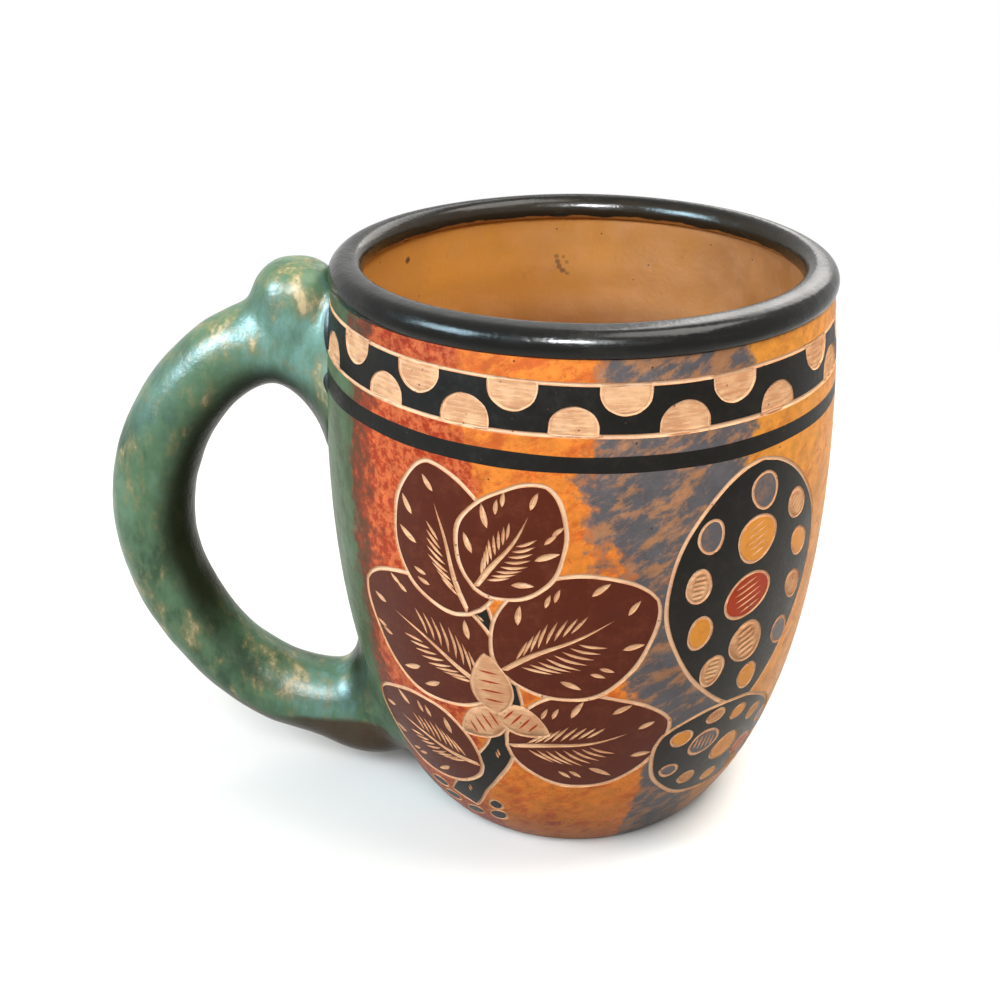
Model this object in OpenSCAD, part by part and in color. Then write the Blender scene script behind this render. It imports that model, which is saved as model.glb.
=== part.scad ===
// Jarrito clay mug: a thrown cup with a rolled rim, a coil handle luted on at two joints,
// a thumb rest on top of the handle, and two black slip bands round the neck.
// Millimetres, +Z up. The origin is the middle of the flat foot and the handle points to -X.

/* [Cup] */
// Height from the table to the top of the rim roll
cup_h = 101.6; // [98:0.2:112]
// Largest outside diameter of the wall, at the belly
belly_d = 87.4; // [80:0.2:94]
// Height of the belly above the table
belly_z = 69.5; // [60:0.5:76]
// Outside diameter of the wall under the rim roll
neck_d = 84; // [78:0.2:92]
// Diameter of the flat foot
foot_d = 50.4; // [42:0.2:58]
// Thickness of the wall at the neck
wall_t = 3.9; // [3:0.1:4.1]
// Thickness of the floor
floor_t = 6; // [4:0.1:9]

/* [Rim roll] */
// Width of the roll, measured across the wall
roll_w = 5.4; // [5.2:0.1:7.5]
// Height of the whole oval that the roll is part of
roll_h = 5.2; // [4.6:0.1:7]
// How far the roll stands proud of the wall outside
roll_proud = 0.7; // [0.4:0.05:1]
// Height of the slice pressed flat where the roll sits on the wall
roll_flat = 1; // [0.8:0.05:1.6]

/* [Handle] */
// Thickness of the handle coil, seen from the side
coil_t = 14.4; // [10:0.2:16]
// Width of the handle coil, seen from behind
coil_w = 15; // [11:0.2:18]
// Depth of the middle of the upper joint below the top of the rim roll
upper_drop = 16.6; // [14.6:0.2:23.6]
// Height of the middle of the lower joint
lower_z = 12.6; // [10:0.2:18]
// Distance from the cup's axis to the middle of the coil where it is farthest out
reach = 77; // [68:0.5:90]

/* [Handle joints] */
// How far the clay of the upper joint creeps out along the handle
upper_collar = 9; // [6:0.5:11]
// How far it spreads down the wall under the handle
upper_spread_down = 13; // [8:0.5:16]
// How far it spreads round the wall on each side
upper_spread_side = 3.8; // [2:0.2:6]
// How far the clay of the lower joint creeps out along the handle
lower_collar = 10; // [7:0.5:12]
// How far it spreads up the wall above the handle
lower_spread_up = 9; // [6:0.5:12]
// How far it spreads round the wall on each side
lower_spread_side = 5; // [3:0.2:7]

/* [Thumb rest] */
// Height of the thumb rest above the handle
rest_h = 6.2; // [4:0.2:7]
// Length of the thumb rest along the handle, beyond the upper joint
rest_l = 4.8; // [4:0.2:8]
// Thickness at its feathered edge
rest_edge = 0.3; // [0.2:0.05:0.6]
// Clearance that its foot keeps from the outside of the rim roll
rest_gap = 0.5; // [0.3:0.1:2]

/* [Slip bands] */
// Thickness of the burnished slip
slip_t = 0.35; // [0.2:0.05:0.6]
// Depth of the dotted band's upper edge below the top of the rim roll
band_drop = 7; // [6:0.1:9]
// Height of the dotted band itself
band_h = 7.9; // [7:0.1:9]
// Width of a half-round dot left bare in the band
dot_w = 8.2; // [5:0.1:8.8]
// Height of a half-round dot
dot_h = 5; // [4.4:0.1:6]
// Number of dots that would fit round the neck at each edge
dots_around = 16; // [12:1:18]
// Height of the strip of wall left between the dotted band and the plain stripe
stripe_gap = 3.2; // [1:0.1:6]
// Height of the plain stripe
stripe_h = 2.5; // [1.5:0.1:4]

/* [Hidden] */

// Faces round the coil, rings along it, and steps along each smaller curve
sides = 36;
rings = 52;
curve_steps = 6;
wall_steps = 30;
$fn = 96;

// Colours of the fired and burnished slips
body_colour = [0.76, 0.36, 0.18];
roll_colour = [0.07, 0.08, 0.10];
handle_colour = [0.30, 0.49, 0.40];
rest_colour = [0.42, 0.56, 0.45];
joint_colour = [0.25, 0.42, 0.34];
band_colour = [0.09, 0.10, 0.12];

// The wall is one cubic from the foot to the belly and a shallow curve from there to the neck
foot_lead_share = 0.01;
belly_lead_share = 0.797;
foot_r = foot_d / 2;
belly_r = belly_d / 2;
neck_r = neck_d / 2;
wall_top = cup_h - roll_h + roll_flat;
upper_z = cup_h - upper_drop;
band_z = cup_h - band_drop - band_h;
stripe_z = band_z - stripe_gap - stripe_h;

function cubic(a, b, c, d, t) =
    a * pow(1 - t, 3) + b * 3 * t * pow(1 - t, 2) + c * 3 * t * t * (1 - t) + d * pow(t, 3);
function mix(a, b, t) = a + (b - a) * t;

lower_wall = [for (i = [0:wall_steps])
    cubic([foot_r, 0],
          [mix(foot_r, belly_r, foot_lead_share), 0],
          [belly_r, belly_z * (1 - belly_lead_share)],
          [belly_r, belly_z], pow(i / wall_steps, 0.8))];
upper_wall = [for (i = [1:curve_steps])
    [mix(belly_r, neck_r, pow(i / curve_steps, 2)), mix(belly_z, wall_top, i / curve_steps)]];
wall_line = concat(lower_wall, upper_wall);
wall_table = [for (p = wall_line) [p[1], p[0]]];

// Outside radius of the wall at a height, and the point of the wall behind a point seen along X
function wall_r(z) = lookup(z, wall_table);
function on_wall(y, z) = [-sqrt(pow(wall_r(z), 2) - y * y), y, z];

// The cavity lies a thickness inside the wall, measured square to it
function thickness(z) = mix(floor_t, wall_t, pow(min(1, z / belly_z), 0.5));
function square_to(a, b) = [a[1] - b[1], b[0] - a[0]] / norm(b - a);
cavity_line = [for (i = [1:len(wall_line) - 1])
    let (p = wall_line[i], n = square_to(wall_line[i - 1], p))
    p + n * thickness(p[1])];
cavity = concat([[0, floor_t], [cavity_line[0][0], floor_t]],
                [for (p = cavity_line) if (p[1] > floor_t && p[1] < wall_top) p],
                [[neck_r - wall_t, wall_top]]);

// The roll is an oval with its bottom slice pressed flat on the wall
roll_r = neck_r + roll_proud;
roll_mid = [roll_r - roll_w / 2, cup_h - roll_h / 2];
flat_angle = asin((roll_h / 2 - roll_flat) / (roll_h / 2));
roll_steps = 36;

// The coil's middle line is two cubics in the XZ plane, level at both joints
mid_share = 0.5235;
upper_lead_share = 0.44;
upper_bend_share = 0.528;
lower_lead_share = 0.565;
lower_bend_share = 0.446;
mid_z = mix(lower_z, upper_z, mid_share);
upper_start = [-wall_r(upper_z) - upper_collar, upper_z];
lower_end = [-wall_r(lower_z) - lower_collar, lower_z];

function coil_line(t) =
    t < 0.5
    ? cubic(upper_start,
            [-mix(-upper_start[0], reach, upper_lead_share), upper_z],
            [-reach, mix(mid_z, upper_z, upper_bend_share)],
            [-reach, mid_z], 2 * t)
    : cubic([-reach, mid_z],
            [-reach, mix(mid_z, lower_z, lower_bend_share)],
            [-mix(-lower_end[0], reach, lower_lead_share), lower_z],
            lower_end, 2 * t - 1);

tiny_share = 0.002;
function coil_way(t) =
    let (d = coil_line(min(1, t + tiny_share)) - coil_line(max(0, t - tiny_share)))
    d / norm(d);

// The coil swells a little towards its joints
swell_share = 0.06;
function swell(t) = 1 + swell_share * pow(abs(2 * t - 1), 4);

// A point on the coil's skin; angle 90 is the outer side of the loop, which is its top at the rim
function coil_skin(t, angle) =
    let (c = coil_line(t), d = coil_way(t), s = swell(t),
         out = sin(angle) * s * coil_t / 2)
    [c[0] + d[1] * out, cos(angle) * s * coil_w / 2, c[1] - d[0] * out];

// The ends of the coil are carried straight on to the wall, where they are seated
function seat_up(angle, share) =
    let (p = coil_skin(0, angle))
    on_wall(p[1] * share, mix(upper_z, p[2], share));
function seat_down(angle, share) =
    let (p = coil_skin(1, angle))
    on_wall(p[1] * share, mix(lower_z, p[2], share));

// The joint clay lies in the corner between the coil and the wall
upper_gap_share = 0.86;
lower_gap_share = 0.6;
corner_share = 0.08;
upper_spread_up = upper_gap_share * (wall_top - upper_z - swell(0) * coil_t / 2);
lower_spread_down = lower_gap_share * (lower_z - swell(1) * coil_t / 2);
function eased(side, other, s) = mix(side, other, pow(s, 1.5));
function upper_spread(angle) =
    sin(angle) > 0 ? eased(upper_spread_side, upper_spread_up, sin(angle))
                   : eased(upper_spread_side, upper_spread_down, -sin(angle));
function lower_spread(angle) =
    sin(angle) > 0 ? eased(lower_spread_side, lower_spread_down, sin(angle))
                   : eased(lower_spread_side, lower_spread_up, -sin(angle));

// A point on the wall at a distance outside the coil's seat
function beside(p, z, spread) =
    let (v = [p[1], p[2] - z], n = v / norm(v))
    on_wall(p[1] + n[0] * spread, p[2] + n[1] * spread);
function corner(h, w, o) = w + (h - w) * corner_share + (o - w) * corner_share;
function bend(h, k, o, s) = h * pow(1 - s, 2) + k * 2 * s * (1 - s) + o * s * s;

function upper_edge(angle, share) =
    beside(coil_skin(0, angle), upper_z, share * upper_spread(angle));
function lower_edge(angle, share) =
    beside(coil_skin(1, angle), lower_z, share * lower_spread(angle));
function upper_skin(angle, s) =
    let (h = coil_skin(0, angle), w = upper_edge(angle, 0), o = upper_edge(angle, 1))
    bend(h, corner(h, w, o), o, s);
function lower_skin(angle, s) =
    let (h = coil_skin(1, angle), w = lower_edge(angle, 0), o = lower_edge(angle, 1))
    bend(h, corner(h, w, o), o, s);

// The thumb rest lies on the coil and on the upper joint, and leans to the rim
rest_near_share = 0.6;
rest_half_angle = 64;
rest_lean_share = 0.61;
top_angle = 90;
rest_room = wall_r(upper_z) + upper_collar - roll_r - rest_gap;
rest_near = rest_near_share * rest_room / upper_collar;
rest_span = rest_l / norm(coil_line(0.1) - coil_line(0)) * 0.1;
function rest_seat(q, angle) =
    q < 0 ? upper_skin(angle, -q * rest_near) : coil_skin(q * rest_span, angle);
function rest_seat_at(r, turn) =
    rest_seat(r * cos(turn), top_angle + r * sin(turn) * rest_half_angle);
function rest_top_at(r, turn) =
    let (q = r * cos(turn), p = rest_seat_at(r, turn),
         c = q < 0 ? [p[0], upper_z] : coil_line(q * rest_span),
         v = [p[0] - c[0], p[1], p[2] - c[1]], n = v / norm(v),
         rise = pow(1 - r * r, 0.75))
    p + n * (rest_edge + rest_h * rise) + [rest_lean_share * rest_room * rise, 0, 0];

// The bands stop short of the upper joint by this clearance
band_gap = 0.4;
joint_half = coil_w / 2 * swell(0) + upper_spread_side;
band_stop = asin((joint_half + band_gap) / wall_r(band_z));
dot_pitch = 360 / dots_around;
overrun = 1;

// A closed skin through rings of points that starts and ends in a single point
module poled_skin(first, loops, last) {
    n = len(loops[0]);
    m = len(loops);
    points = concat([first], [for (l = loops, p = l) p], [last]);
    function at(i, j) = 1 + i * n + (j + n) % n;
    faces = concat(
        [for (j = [0:n - 1]) [0, at(0, j), at(0, j + 1)]],
        [for (i = [0:m - 2], j = [0:n - 1]) [at(i, j), at(i + 1, j), at(i + 1, j + 1)]],
        [for (i = [0:m - 2], j = [0:n - 1]) [at(i, j), at(i + 1, j + 1), at(i, j + 1)]],
        [for (j = [0:n - 1]) [1 + m * n, at(m - 1, j + 1), at(m - 1, j)]]);
    polyhedron(points, faces);
}

// A closed ring through sections of points
module ring_skin(sections) {
    n = len(sections[0]);
    m = len(sections);
    points = [for (s = sections, p = s) p];
    function at(i, j) = (i % m) * n + j % n;
    faces = concat(
        [for (i = [0:m - 1], j = [0:n - 1]) [at(i, j), at(i + 1, j), at(i + 1, j + 1)]],
        [for (i = [0:m - 1], j = [0:n - 1]) [at(i, j), at(i + 1, j + 1), at(i, j + 1)]]);
    polyhedron(points, faces);
}

module cup_body() {
    color(body_colour)
    rotate_extrude()
    polygon(concat([[0, 0]], wall_line, [for (i = [len(cavity) - 1:-1:0]) cavity[i]]));
}

module rim_roll() {
    color(roll_colour)
    rotate_extrude()
    polygon([for (i = [0:roll_steps])
        let (a = mix(-flat_angle, 180 + flat_angle, i / roll_steps))
        roll_mid + [cos(a) * roll_w / 2, sin(a) * roll_h / 2]]);
}

module handle_coil() {
    turns = [for (j = [0:sides - 1]) -j * 360 / sides];
    seat_shares = [1 / 3, 2 / 3, 1];
    upper_seat = [for (s = seat_shares) [for (a = turns) seat_up(a, s)]];
    loop = [for (i = [0:rings]) [for (a = turns) coil_skin(i / rings, a)]];
    lower_seat = [for (i = [2:-1:0]) [for (a = turns) seat_down(a, seat_shares[i])]];
    color(handle_colour)
    poled_skin(on_wall(0, upper_z), concat(upper_seat, loop, lower_seat), on_wall(0, lower_z));
}

module thumb_rest() {
    turns = [for (j = [0:sides - 1]) j * 360 / sides];
    steps = [for (i = [1:curve_steps]) sin(i / curve_steps * 90)];
    seat = [for (r = steps) [for (a = turns) rest_seat_at(r, a)]];
    top = [for (i = [curve_steps - 1:-1:0]) [for (a = turns) rest_top_at(steps[i], a)]];
    color(rest_colour)
    poled_skin(rest_seat_at(0, 0), concat(seat, top), rest_top_at(0, 0));
}

module upper_joint() {
    shares = [for (i = [1:curve_steps]) i / curve_steps];
    color(joint_colour)
    ring_skin([for (j = [sides - 1:-1:0])
        let (a = j * 360 / sides)
        concat([upper_edge(a, 0), coil_skin(0, a)],
               [for (s = shares) upper_skin(a, s)],
               [for (i = [2, 1]) upper_edge(a, i / 3)])]);
}

module lower_joint() {
    shares = [for (i = [1:curve_steps]) i / curve_steps];
    color(joint_colour)
    ring_skin([for (j = [0:sides - 1])
        let (a = j * 360 / sides)
        concat([lower_edge(a, 0), coil_skin(1, a)],
               [for (s = shares) lower_skin(a, s)],
               [for (i = [2, 1]) lower_edge(a, i / 3)])]);
}

// A layer of slip on the wall between two heights, open at the handle
module slip_ring(low, high) {
    levels = [for (i = [0:curve_steps]) mix(low, high, i / curve_steps)];
    rotate([0, 0, 180 + band_stop])
    rotate_extrude(angle = 360 - 2 * band_stop)
    polygon(concat([for (z = levels) [wall_r(z), z]],
                   [for (i = [curve_steps:-1:0]) [wall_r(levels[i]) + slip_t, levels[i]]]));
}

// A half-round dot that rises from the lower edge, or hangs from the upper edge
module dot_cut(turn, foot, way) {
    rotate([0, 0, 180 + turn])
    translate([belly_r - overrun * wall_t, 0, foot])
    rotate([90, 0, 90])
    linear_extrude(height = 2 * overrun * wall_t) {
        translate([0, way * (dot_h - dot_w / 2)]) circle(d = dot_w);
        translate([-dot_w / 2, way > 0 ? -overrun : -(dot_h - dot_w / 2)])
        square([dot_w, dot_h - dot_w / 2 + overrun]);
    }
}

module dotted_band() {
    color(band_colour)
    difference() {
        slip_ring(band_z, band_z + band_h);
        for (i = [1:dots_around - 1]) dot_cut(i * dot_pitch, band_z, 1);
        for (i = [1:dots_around - 2]) dot_cut((i + 0.5) * dot_pitch, band_z + band_h, -1);
    }
}

module plain_stripe() {
    color(band_colour)
    slip_ring(stripe_z, stripe_z + stripe_h);
}

cup_body();
rim_roll();
handle_coil();
thumb_rest();
upper_joint();
lower_joint();
dotted_band();
plain_stripe();
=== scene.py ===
"""Dresses the packed clay mug: burnished slips, carved leaves and pods, banding, a black
rim and a worn green handle. All sizes are in metres, in the frame's own axes: +Z up the
cup, -X to the handle, and azimuth 0 at the front, where -Y is, growing towards +X."""

import math
from functools import lru_cache

import bpy
import numpy as np
from bpy.props import FloatProperty, FloatVectorProperty, PointerProperty
from mathutils import Matrix, Vector, noise
from mathutils.geometry import delaunay_2d_cdt
from mathutils.kdtree import KDTree


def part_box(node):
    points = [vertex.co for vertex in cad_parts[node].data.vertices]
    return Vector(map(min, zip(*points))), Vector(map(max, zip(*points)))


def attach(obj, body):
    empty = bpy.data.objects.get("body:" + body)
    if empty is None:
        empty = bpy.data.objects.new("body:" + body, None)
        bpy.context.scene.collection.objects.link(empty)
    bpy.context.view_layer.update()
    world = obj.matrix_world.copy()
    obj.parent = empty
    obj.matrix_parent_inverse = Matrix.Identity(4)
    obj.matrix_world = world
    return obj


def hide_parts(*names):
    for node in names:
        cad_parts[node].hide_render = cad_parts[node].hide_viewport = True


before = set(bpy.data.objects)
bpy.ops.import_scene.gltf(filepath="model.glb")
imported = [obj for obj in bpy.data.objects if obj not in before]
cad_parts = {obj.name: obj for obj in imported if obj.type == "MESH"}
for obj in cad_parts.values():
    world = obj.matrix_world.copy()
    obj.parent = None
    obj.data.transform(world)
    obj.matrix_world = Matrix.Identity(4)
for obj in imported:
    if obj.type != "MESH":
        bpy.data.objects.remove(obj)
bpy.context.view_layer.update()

bl_info = {
    "name": "Carved slip mug",
    "version": (1, 0, 0),
    "blender": (4, 5, 0),
    "location": "3D View > Sidebar > Mug",
    "description": "Builds the finish of a burnished and carved clay mug around its solid model",
    "category": "Object",
}

MM = 0.001


def mix(a, b, t):
    return a + (b - a) * t


def smooth(t):
    t = np.clip(t, 0, 1)
    return t * t * (3 - 2 * t)


def srgb(red, green, blue):
    """A paint as it is seen, 0 to 255, turned into the linear values that a shader takes."""
    parts = [c / 255 for c in (red, green, blue)]
    return tuple(c / 12.92 if c <= 0.04045 else ((c + 0.055) / 1.055) ** 2.4 for c in parts)


# Sizes taken from the solid model

def point_values(mesh, key="co"):
    """The places of a mesh's points, or another three values that each of them has."""
    values = np.zeros(len(mesh.vertices) * 3, np.float32)
    mesh.vertices.foreach_get(key, values)
    return values.reshape(-1, 3).astype(float)


def node_points(name):
    return point_values(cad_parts[name].data)


def ring_radius(points, height, inner=False):
    """Largest or smallest radius among the points that lie at a height."""
    near = points[np.abs(points[:, 2] - height) < 0.05 * MM]
    radii = np.hypot(near[:, 0], near[:, 1])
    return float(radii.min() if inner else radii.max())


BODY = node_points("cup_body")
BODY_RADII = np.hypot(BODY[:, 0], BODY[:, 1])
WALL_TOP = float(BODY[:, 2].max())
BELLY_R = float(BODY_RADII.max())
BELLY_Z = float(BODY[BODY_RADII.argmax(), 2])
FOOT_R = ring_radius(BODY, 0)
NECK_R = ring_radius(BODY, WALL_TOP)
MOUTH_R = ring_radius(BODY, WALL_TOP, inner=True)
WALL_T = NECK_R - MOUTH_R
FLOOR_T = float(BODY[(BODY_RADII < FOOT_R * 0.9) & (BODY[:, 2] > MM), 2].min())
ROLL_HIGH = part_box("rim_roll")[1]
BAND_LOW, BAND_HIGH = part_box("dotted_band")
STRIPE_LOW, STRIPE_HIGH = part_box("plain_stripe")
COIL_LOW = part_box("handle_coil")[0]
REST_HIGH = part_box("thumb_rest")[1]


# What a user may change

def length(name, description, millimetres):
    return FloatProperty(name=name, description=description, default=millimetres * MM,
                         subtype="DISTANCE", unit="LENGTH", precision=5)


def paint(name, description, red, green, blue):
    return FloatVectorProperty(name=name, description=description, size=3, subtype="COLOR",
                               min=0, max=1, default=srgb(red, green, blue))


def number(name, description, value, most=100):
    return FloatProperty(name=name, description=description, default=value, min=0, max=most)


class MugSizes(bpy.types.PropertyGroup):
    """Sizes of the surface work, which lies on the solid model."""
    line_w: length("Line width", "Width of a carved outline", 0.72)
    cut_depth: length("Cut depth", "Depth of a carved line", 0.3)
    cut_wall: length("Cut wall", "Width of the sloping side of a carved line", 0.13)
    dot_w: length("Dot width", "Width of a half-round dot left bare in the band", 8.1)
    dot_h: length("Dot height", "Height of a half-round dot", 4.9)
    dot_depth: length("Dot depth", "Depth to which a dot is scraped", 0.2)
    scrape: length("Scrape", "Distance between the scraper's marks in a dot", 0.42)
    stem_w: length("Stem width", "Width of a painted stem", 6)
    band_tilt: length("Band tilt", "How far the hand-drawn bands dip at the front", 0.85)
    coil_t: length("Coil thickness", "Thickness of the handle, seen from the side", 14.4)
    coil_w: length("Coil width", "Width of the handle, seen from behind", 15)
    seat_in: length("Seat depth", "How far the handle's skin is carried into the wall", 1.6)
    lump: length("Lumps", "Height of the hand-worked lumps on the handle", 0.3)
    rim_dip: length("Rim dip", "How much lower the rim is at the back than at the front", 0.55)
    roll_wave: length("Rim waves", "How far the rim roll wanders from a true ring", 0.22)
    roll_lean: length("Rim lean", "How far the rim roll leans inward at the front", 1.3)


class MugPaints(bpy.types.PropertyGroup):
    """The slips and the bare clay, as they look in plain light."""
    bare: paint("Bare clay", "Clay that the carving lays open", 236, 184, 136)
    bare_dark: paint("Bare clay, dark", "Darker grains in the carved clay", 206, 142, 96)
    bare_deep: paint("Bare clay, deep", "Paler clay at the bottom of a deep line", 250, 216, 180)
    maroon: paint("Maroon", "Slip of the leaves", 86, 31, 10)
    maroon_light: paint("Maroon, rubbed", "Maroon where it is rubbed thin", 114, 56, 32)
    black: paint("Black", "Slip of the pods, the stems and the bands", 20, 17, 12)
    black_worn: paint("Black, rubbed", "Black where it is rubbed thin", 50, 44, 35)
    red: paint("Red ground", "Rust red ground", 174, 56, 22)
    red_light: paint("Red ground, light", "Lighter grains in the red ground", 234, 124, 70)
    orange: paint("Orange ground", "Orange ground", 238, 138, 52)
    orange_dark: paint("Orange ground, dark", "Rust clouds in the orange ground", 212, 96, 38)
    slate: paint("Slate ground", "Blue-grey ground", 96, 92, 94)
    slate_warm: paint("Slate ground, warm", "Orange clouds in the slate ground", 184, 128, 86)
    ochre: paint("Ochre ground", "Yellow ground", 233, 152, 60)
    ochre_dark: paint("Ochre ground, dark", "Brown clouds in the yellow ground", 204, 118, 50)
    green: paint("Green", "Slip of the handle and of the wall beside it", 82, 110, 80)
    green_light: paint("Green, light", "Green where it is thick and pale", 104, 136, 108)
    green_dark: paint("Green, dark", "Green where it is thin and dark", 58, 82, 58)
    worn: paint("Worn clay", "Pale clay that shows where the green is worn off", 204, 180, 138)
    umber: paint("Umber", "Brown edge between the green and the red", 104, 62, 40)
    # inside and inside_dark are the lit and the shaded side of one terracotta: painted light and shade.
    # inside_dark is also the clay left bare at the rim's inner edge.
    inside: paint("Inside", "Terracotta of the inside, light side", 214, 146, 60)
    inside_dark: paint("Inside, dark", "Terracotta of the inside, dark side", 150, 97, 48)
    rim: paint("Rim", "Burnished black slip of the rim roll", 14, 13, 10)


class MugStage(bpy.types.PropertyGroup):
    """The light and the floor, which aren't part of the mug."""
    window_power: number("Window", "Power of the cool lamp at the left", 3.6)
    sheen_power: number("Sheen", "Power of the window as the gloss shows it", 30)
    glint_power: number("Glint", "Power of the fill lamp as the gloss shows it", 16)
    fill_power: number("Fill lamp", "Power of the warm lamp in front", 3.4)
    back_power: number("Back lamp", "Power of the lamp behind the mug", 2.2)
    top_power: number("Top lamp", "Power of the lamp overhead", 5)
    sky: number("Sky", "Strength of the even light all round", 0.36)
    floor: paint("Floor", "Colour of the plain floor", 238, 236, 232)
    bounce: number("Floor bounce", "Share of light the floor throws back", 0.22, 1)


def sizes():
    return bpy.context.scene.mug_sizes


def slip(name):
    return tuple(getattr(bpy.context.scene.mug_paints, name))


# The wall of the cup, unrolled. A place on it is (u, s): u is an angle round the cup times
# the belly's radius, and s is the distance up the wall from the foot's edge.

# How far the handles of the lower wall's curve reach, as shares of its width and its height
FOOT_LEAD, BELLY_LEAD = 0.01, 0.797


def bezier(a, b, c, d, t):
    a, b, c, d = (np.asarray(p, float) for p in (a, b, c, d))
    return a * (1 - t) ** 3 + b * 3 * t * (1 - t) ** 2 + c * 3 * t * t * (1 - t) + d * t ** 3


@lru_cache
def wall():
    """Outline of the wall from the foot to the rim roll: s, radius, height and direction out."""
    t = np.linspace(0, 1, 500)[:, None]
    low = bezier((FOOT_R, 0), (mix(FOOT_R, BELLY_R, FOOT_LEAD), 0),
                 (BELLY_R, BELLY_Z * (1 - BELLY_LEAD)), (BELLY_R, BELLY_Z), t)
    t = np.linspace(0, 1, 150)[1:]
    high = np.stack([mix(BELLY_R, NECK_R, t ** 2), mix(BELLY_Z, WALL_TOP, t)], 1)
    line = np.vstack([low, high])
    way = np.gradient(line, axis=0)
    way /= np.linalg.norm(way, axis=1)[:, None]
    return {"s": run(line), "r": line[:, 0], "z": line[:, 1], "nr": way[:, 1], "nz": -way[:, 0]}


def wall_value(key, s):
    return np.interp(s, wall()["s"], wall()[key])


def climb(height):
    return np.interp(height, wall()["z"], wall()["s"])


def wall_r(height):
    return np.interp(height, wall()["z"], wall()["r"])


def round_to(azimuth):
    """u of an azimuth in degrees."""
    return np.radians(azimuth) * BELLY_R


def on_wall(places):
    """Points of the wall and the directions out of it, for rows of (u, s)."""
    angle = places[:, 0] / BELLY_R
    r, z, nr, nz = (wall_value(key, places[:, 1]) for key in ("r", "z", "nr", "nz"))
    points = np.stack([r * np.sin(angle), -r * np.cos(angle), z], 1)
    out = np.stack([nr * np.sin(angle), -nr * np.cos(angle), nz], 1)
    return points, out


# Lines and shapes, drawn flat and then laid on the wall

def sideways(line, closed=False):
    """Unit vectors square to a line, to its left."""
    way = np.roll(line, -1, 0) - np.roll(line, 1, 0) if closed else np.gradient(line, axis=0)
    way = way / np.maximum(np.linalg.norm(way, axis=1), 1e-12)[:, None]
    return np.stack([-way[:, 1], way[:, 0]], 1)


def run(line):
    """Distance along a line to each of its points."""
    return np.concatenate([[0], np.cumsum(np.linalg.norm(np.diff(line, axis=0), axis=1))])


def evenly(line, step, closed=False):
    """The same line with points about a step apart."""
    if closed:
        line = np.vstack([line, line[:1]])
    far = run(line)
    at = np.linspace(0, far[-1], max(3, int(round(far[-1] / step))) + 1)
    made = np.stack([np.interp(at, far, line[:, k]) for k in (0, 1)], 1)
    return made[:-1] if closed else made


def curve(points, step):
    """A smooth line through a few given points."""
    p = np.asarray(points, float)
    p = np.vstack([2 * p[0] - p[1], p, 2 * p[-1] - p[-2]])
    made = []
    t = np.linspace(0, 1, 24, endpoint=False)[:, None]
    for a, b, c, d in zip(p, p[1:], p[2:], p[3:]):
        made.append(0.5 * (2 * b + (c - a) * t + (2 * a - 5 * b + 4 * c - d) * t ** 2
                           + (3 * b - a - 3 * c + d) * t ** 3))
    return evenly(np.vstack(made + [p[-2:-1]]), step)


def unsteady(count, seed, waves=(2, 3, 5, 9)):
    """A hand's small swings along a closed line, between about -1 and 1."""
    t = np.linspace(0, 2 * math.pi, count, endpoint=False)
    return sum(np.sin(k * t + seed * (1.7 + k)) / len(waves) for k in waves)


def drawn(edge, swing, seed):
    """A closed edge with a hand's small swings."""
    return edge + sideways(edge, True) * (swing * unsteady(len(edge), seed))[:, None]


def hem(line, half, blunt=False):
    """A closed loop at a distance on both sides of a line, pointed unless it is blunt."""
    side = sideways(line) * half[:, None]
    back = (line - side)[::-1]
    return np.vstack([line + side, back if blunt else back[1:-1]])


def rotated(flat, turn):
    c, s = math.cos(turn), math.sin(turn)
    return flat @ np.array([[c, s], [-s, c]])


def placed(x, y, turn):
    """Lays one flat drawing in another, at (x, y) in millimetres, turned by degrees."""
    return lambda flat: rotated(flat, math.radians(turn)) + np.array([x, y]) * MM


def on_cup(azimuth, height, turn=0, mirrored=False):
    """Lays a flat drawing on the unrolled wall, turned by degrees and perhaps mirrored."""
    c, s = math.cos(math.radians(turn)), math.sin(math.radians(turn))

    def lay(flat):
        x = (flat[:, 0] * c - flat[:, 1] * s) * (-1 if mirrored else 1)
        up = climb(height) + flat[:, 0] * s + flat[:, 1] * c
        return np.stack([round_to(azimuth) + x * BELLY_R / wall_value("r", up), up], 1)
    return lay


class Mark:
    """A cut: the closed loops around it, rows of points on its floor, and its depth."""

    def __init__(self, loops, rows=(), depth=None, scraped=False):
        self.loops, self.rows, self.scraped = list(loops), list(rows), scraped
        self.depth = depth or sizes().cut_depth

    def laid(self, lay):
        return Mark(map(lay, self.loops), map(lay, self.rows), self.depth, self.scraped)


class Motif:
    """A painted shape: its closed edge, its paint, the piece it belongs to, and its cuts."""

    def __init__(self, edge, paint_name, piece, marks=(), outer=None):
        self.edge, self.paint, self.piece, self.marks = edge, paint_name, piece, list(marks)
        self.outer = edge if outer is None else outer

    def outlined(self, seed=0, thick=1.0):
        """The same shape with a carved line round its edge."""
        own, edge = sizes(), self.edge
        half = own.line_w / 2 * thick * (1 + 0.22 * unsteady(len(edge), seed))
        side = sideways(edge, closed=True) * half[:, None]
        floor = side * (1 - own.cut_wall / half)[:, None]
        rows = [np.vstack([row, row[:1]]) for row in (edge + floor, edge - floor)]
        loops = [edge + side, edge - side]
        self.outer = max(loops, key=lambda loop: np.ptp(loop, axis=0).sum())
        self.marks.insert(0, Mark(loops, rows))
        return self

    def laid(self, lay):
        marks = [mark.laid(lay) for mark in self.marks]
        return Motif(lay(self.edge), self.paint, self.piece, marks, lay(self.outer))


def stroke(line, half, swell=(0, 0.75, 1, 0.9, 0.6, 0)):
    """One cut of the tool, thin at both ends."""
    width = half * np.interp(np.linspace(0, 1, len(line)), np.linspace(0, 1, len(swell)), swell)
    return Mark([hem(line, width)], [line[1:-1]])


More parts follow.
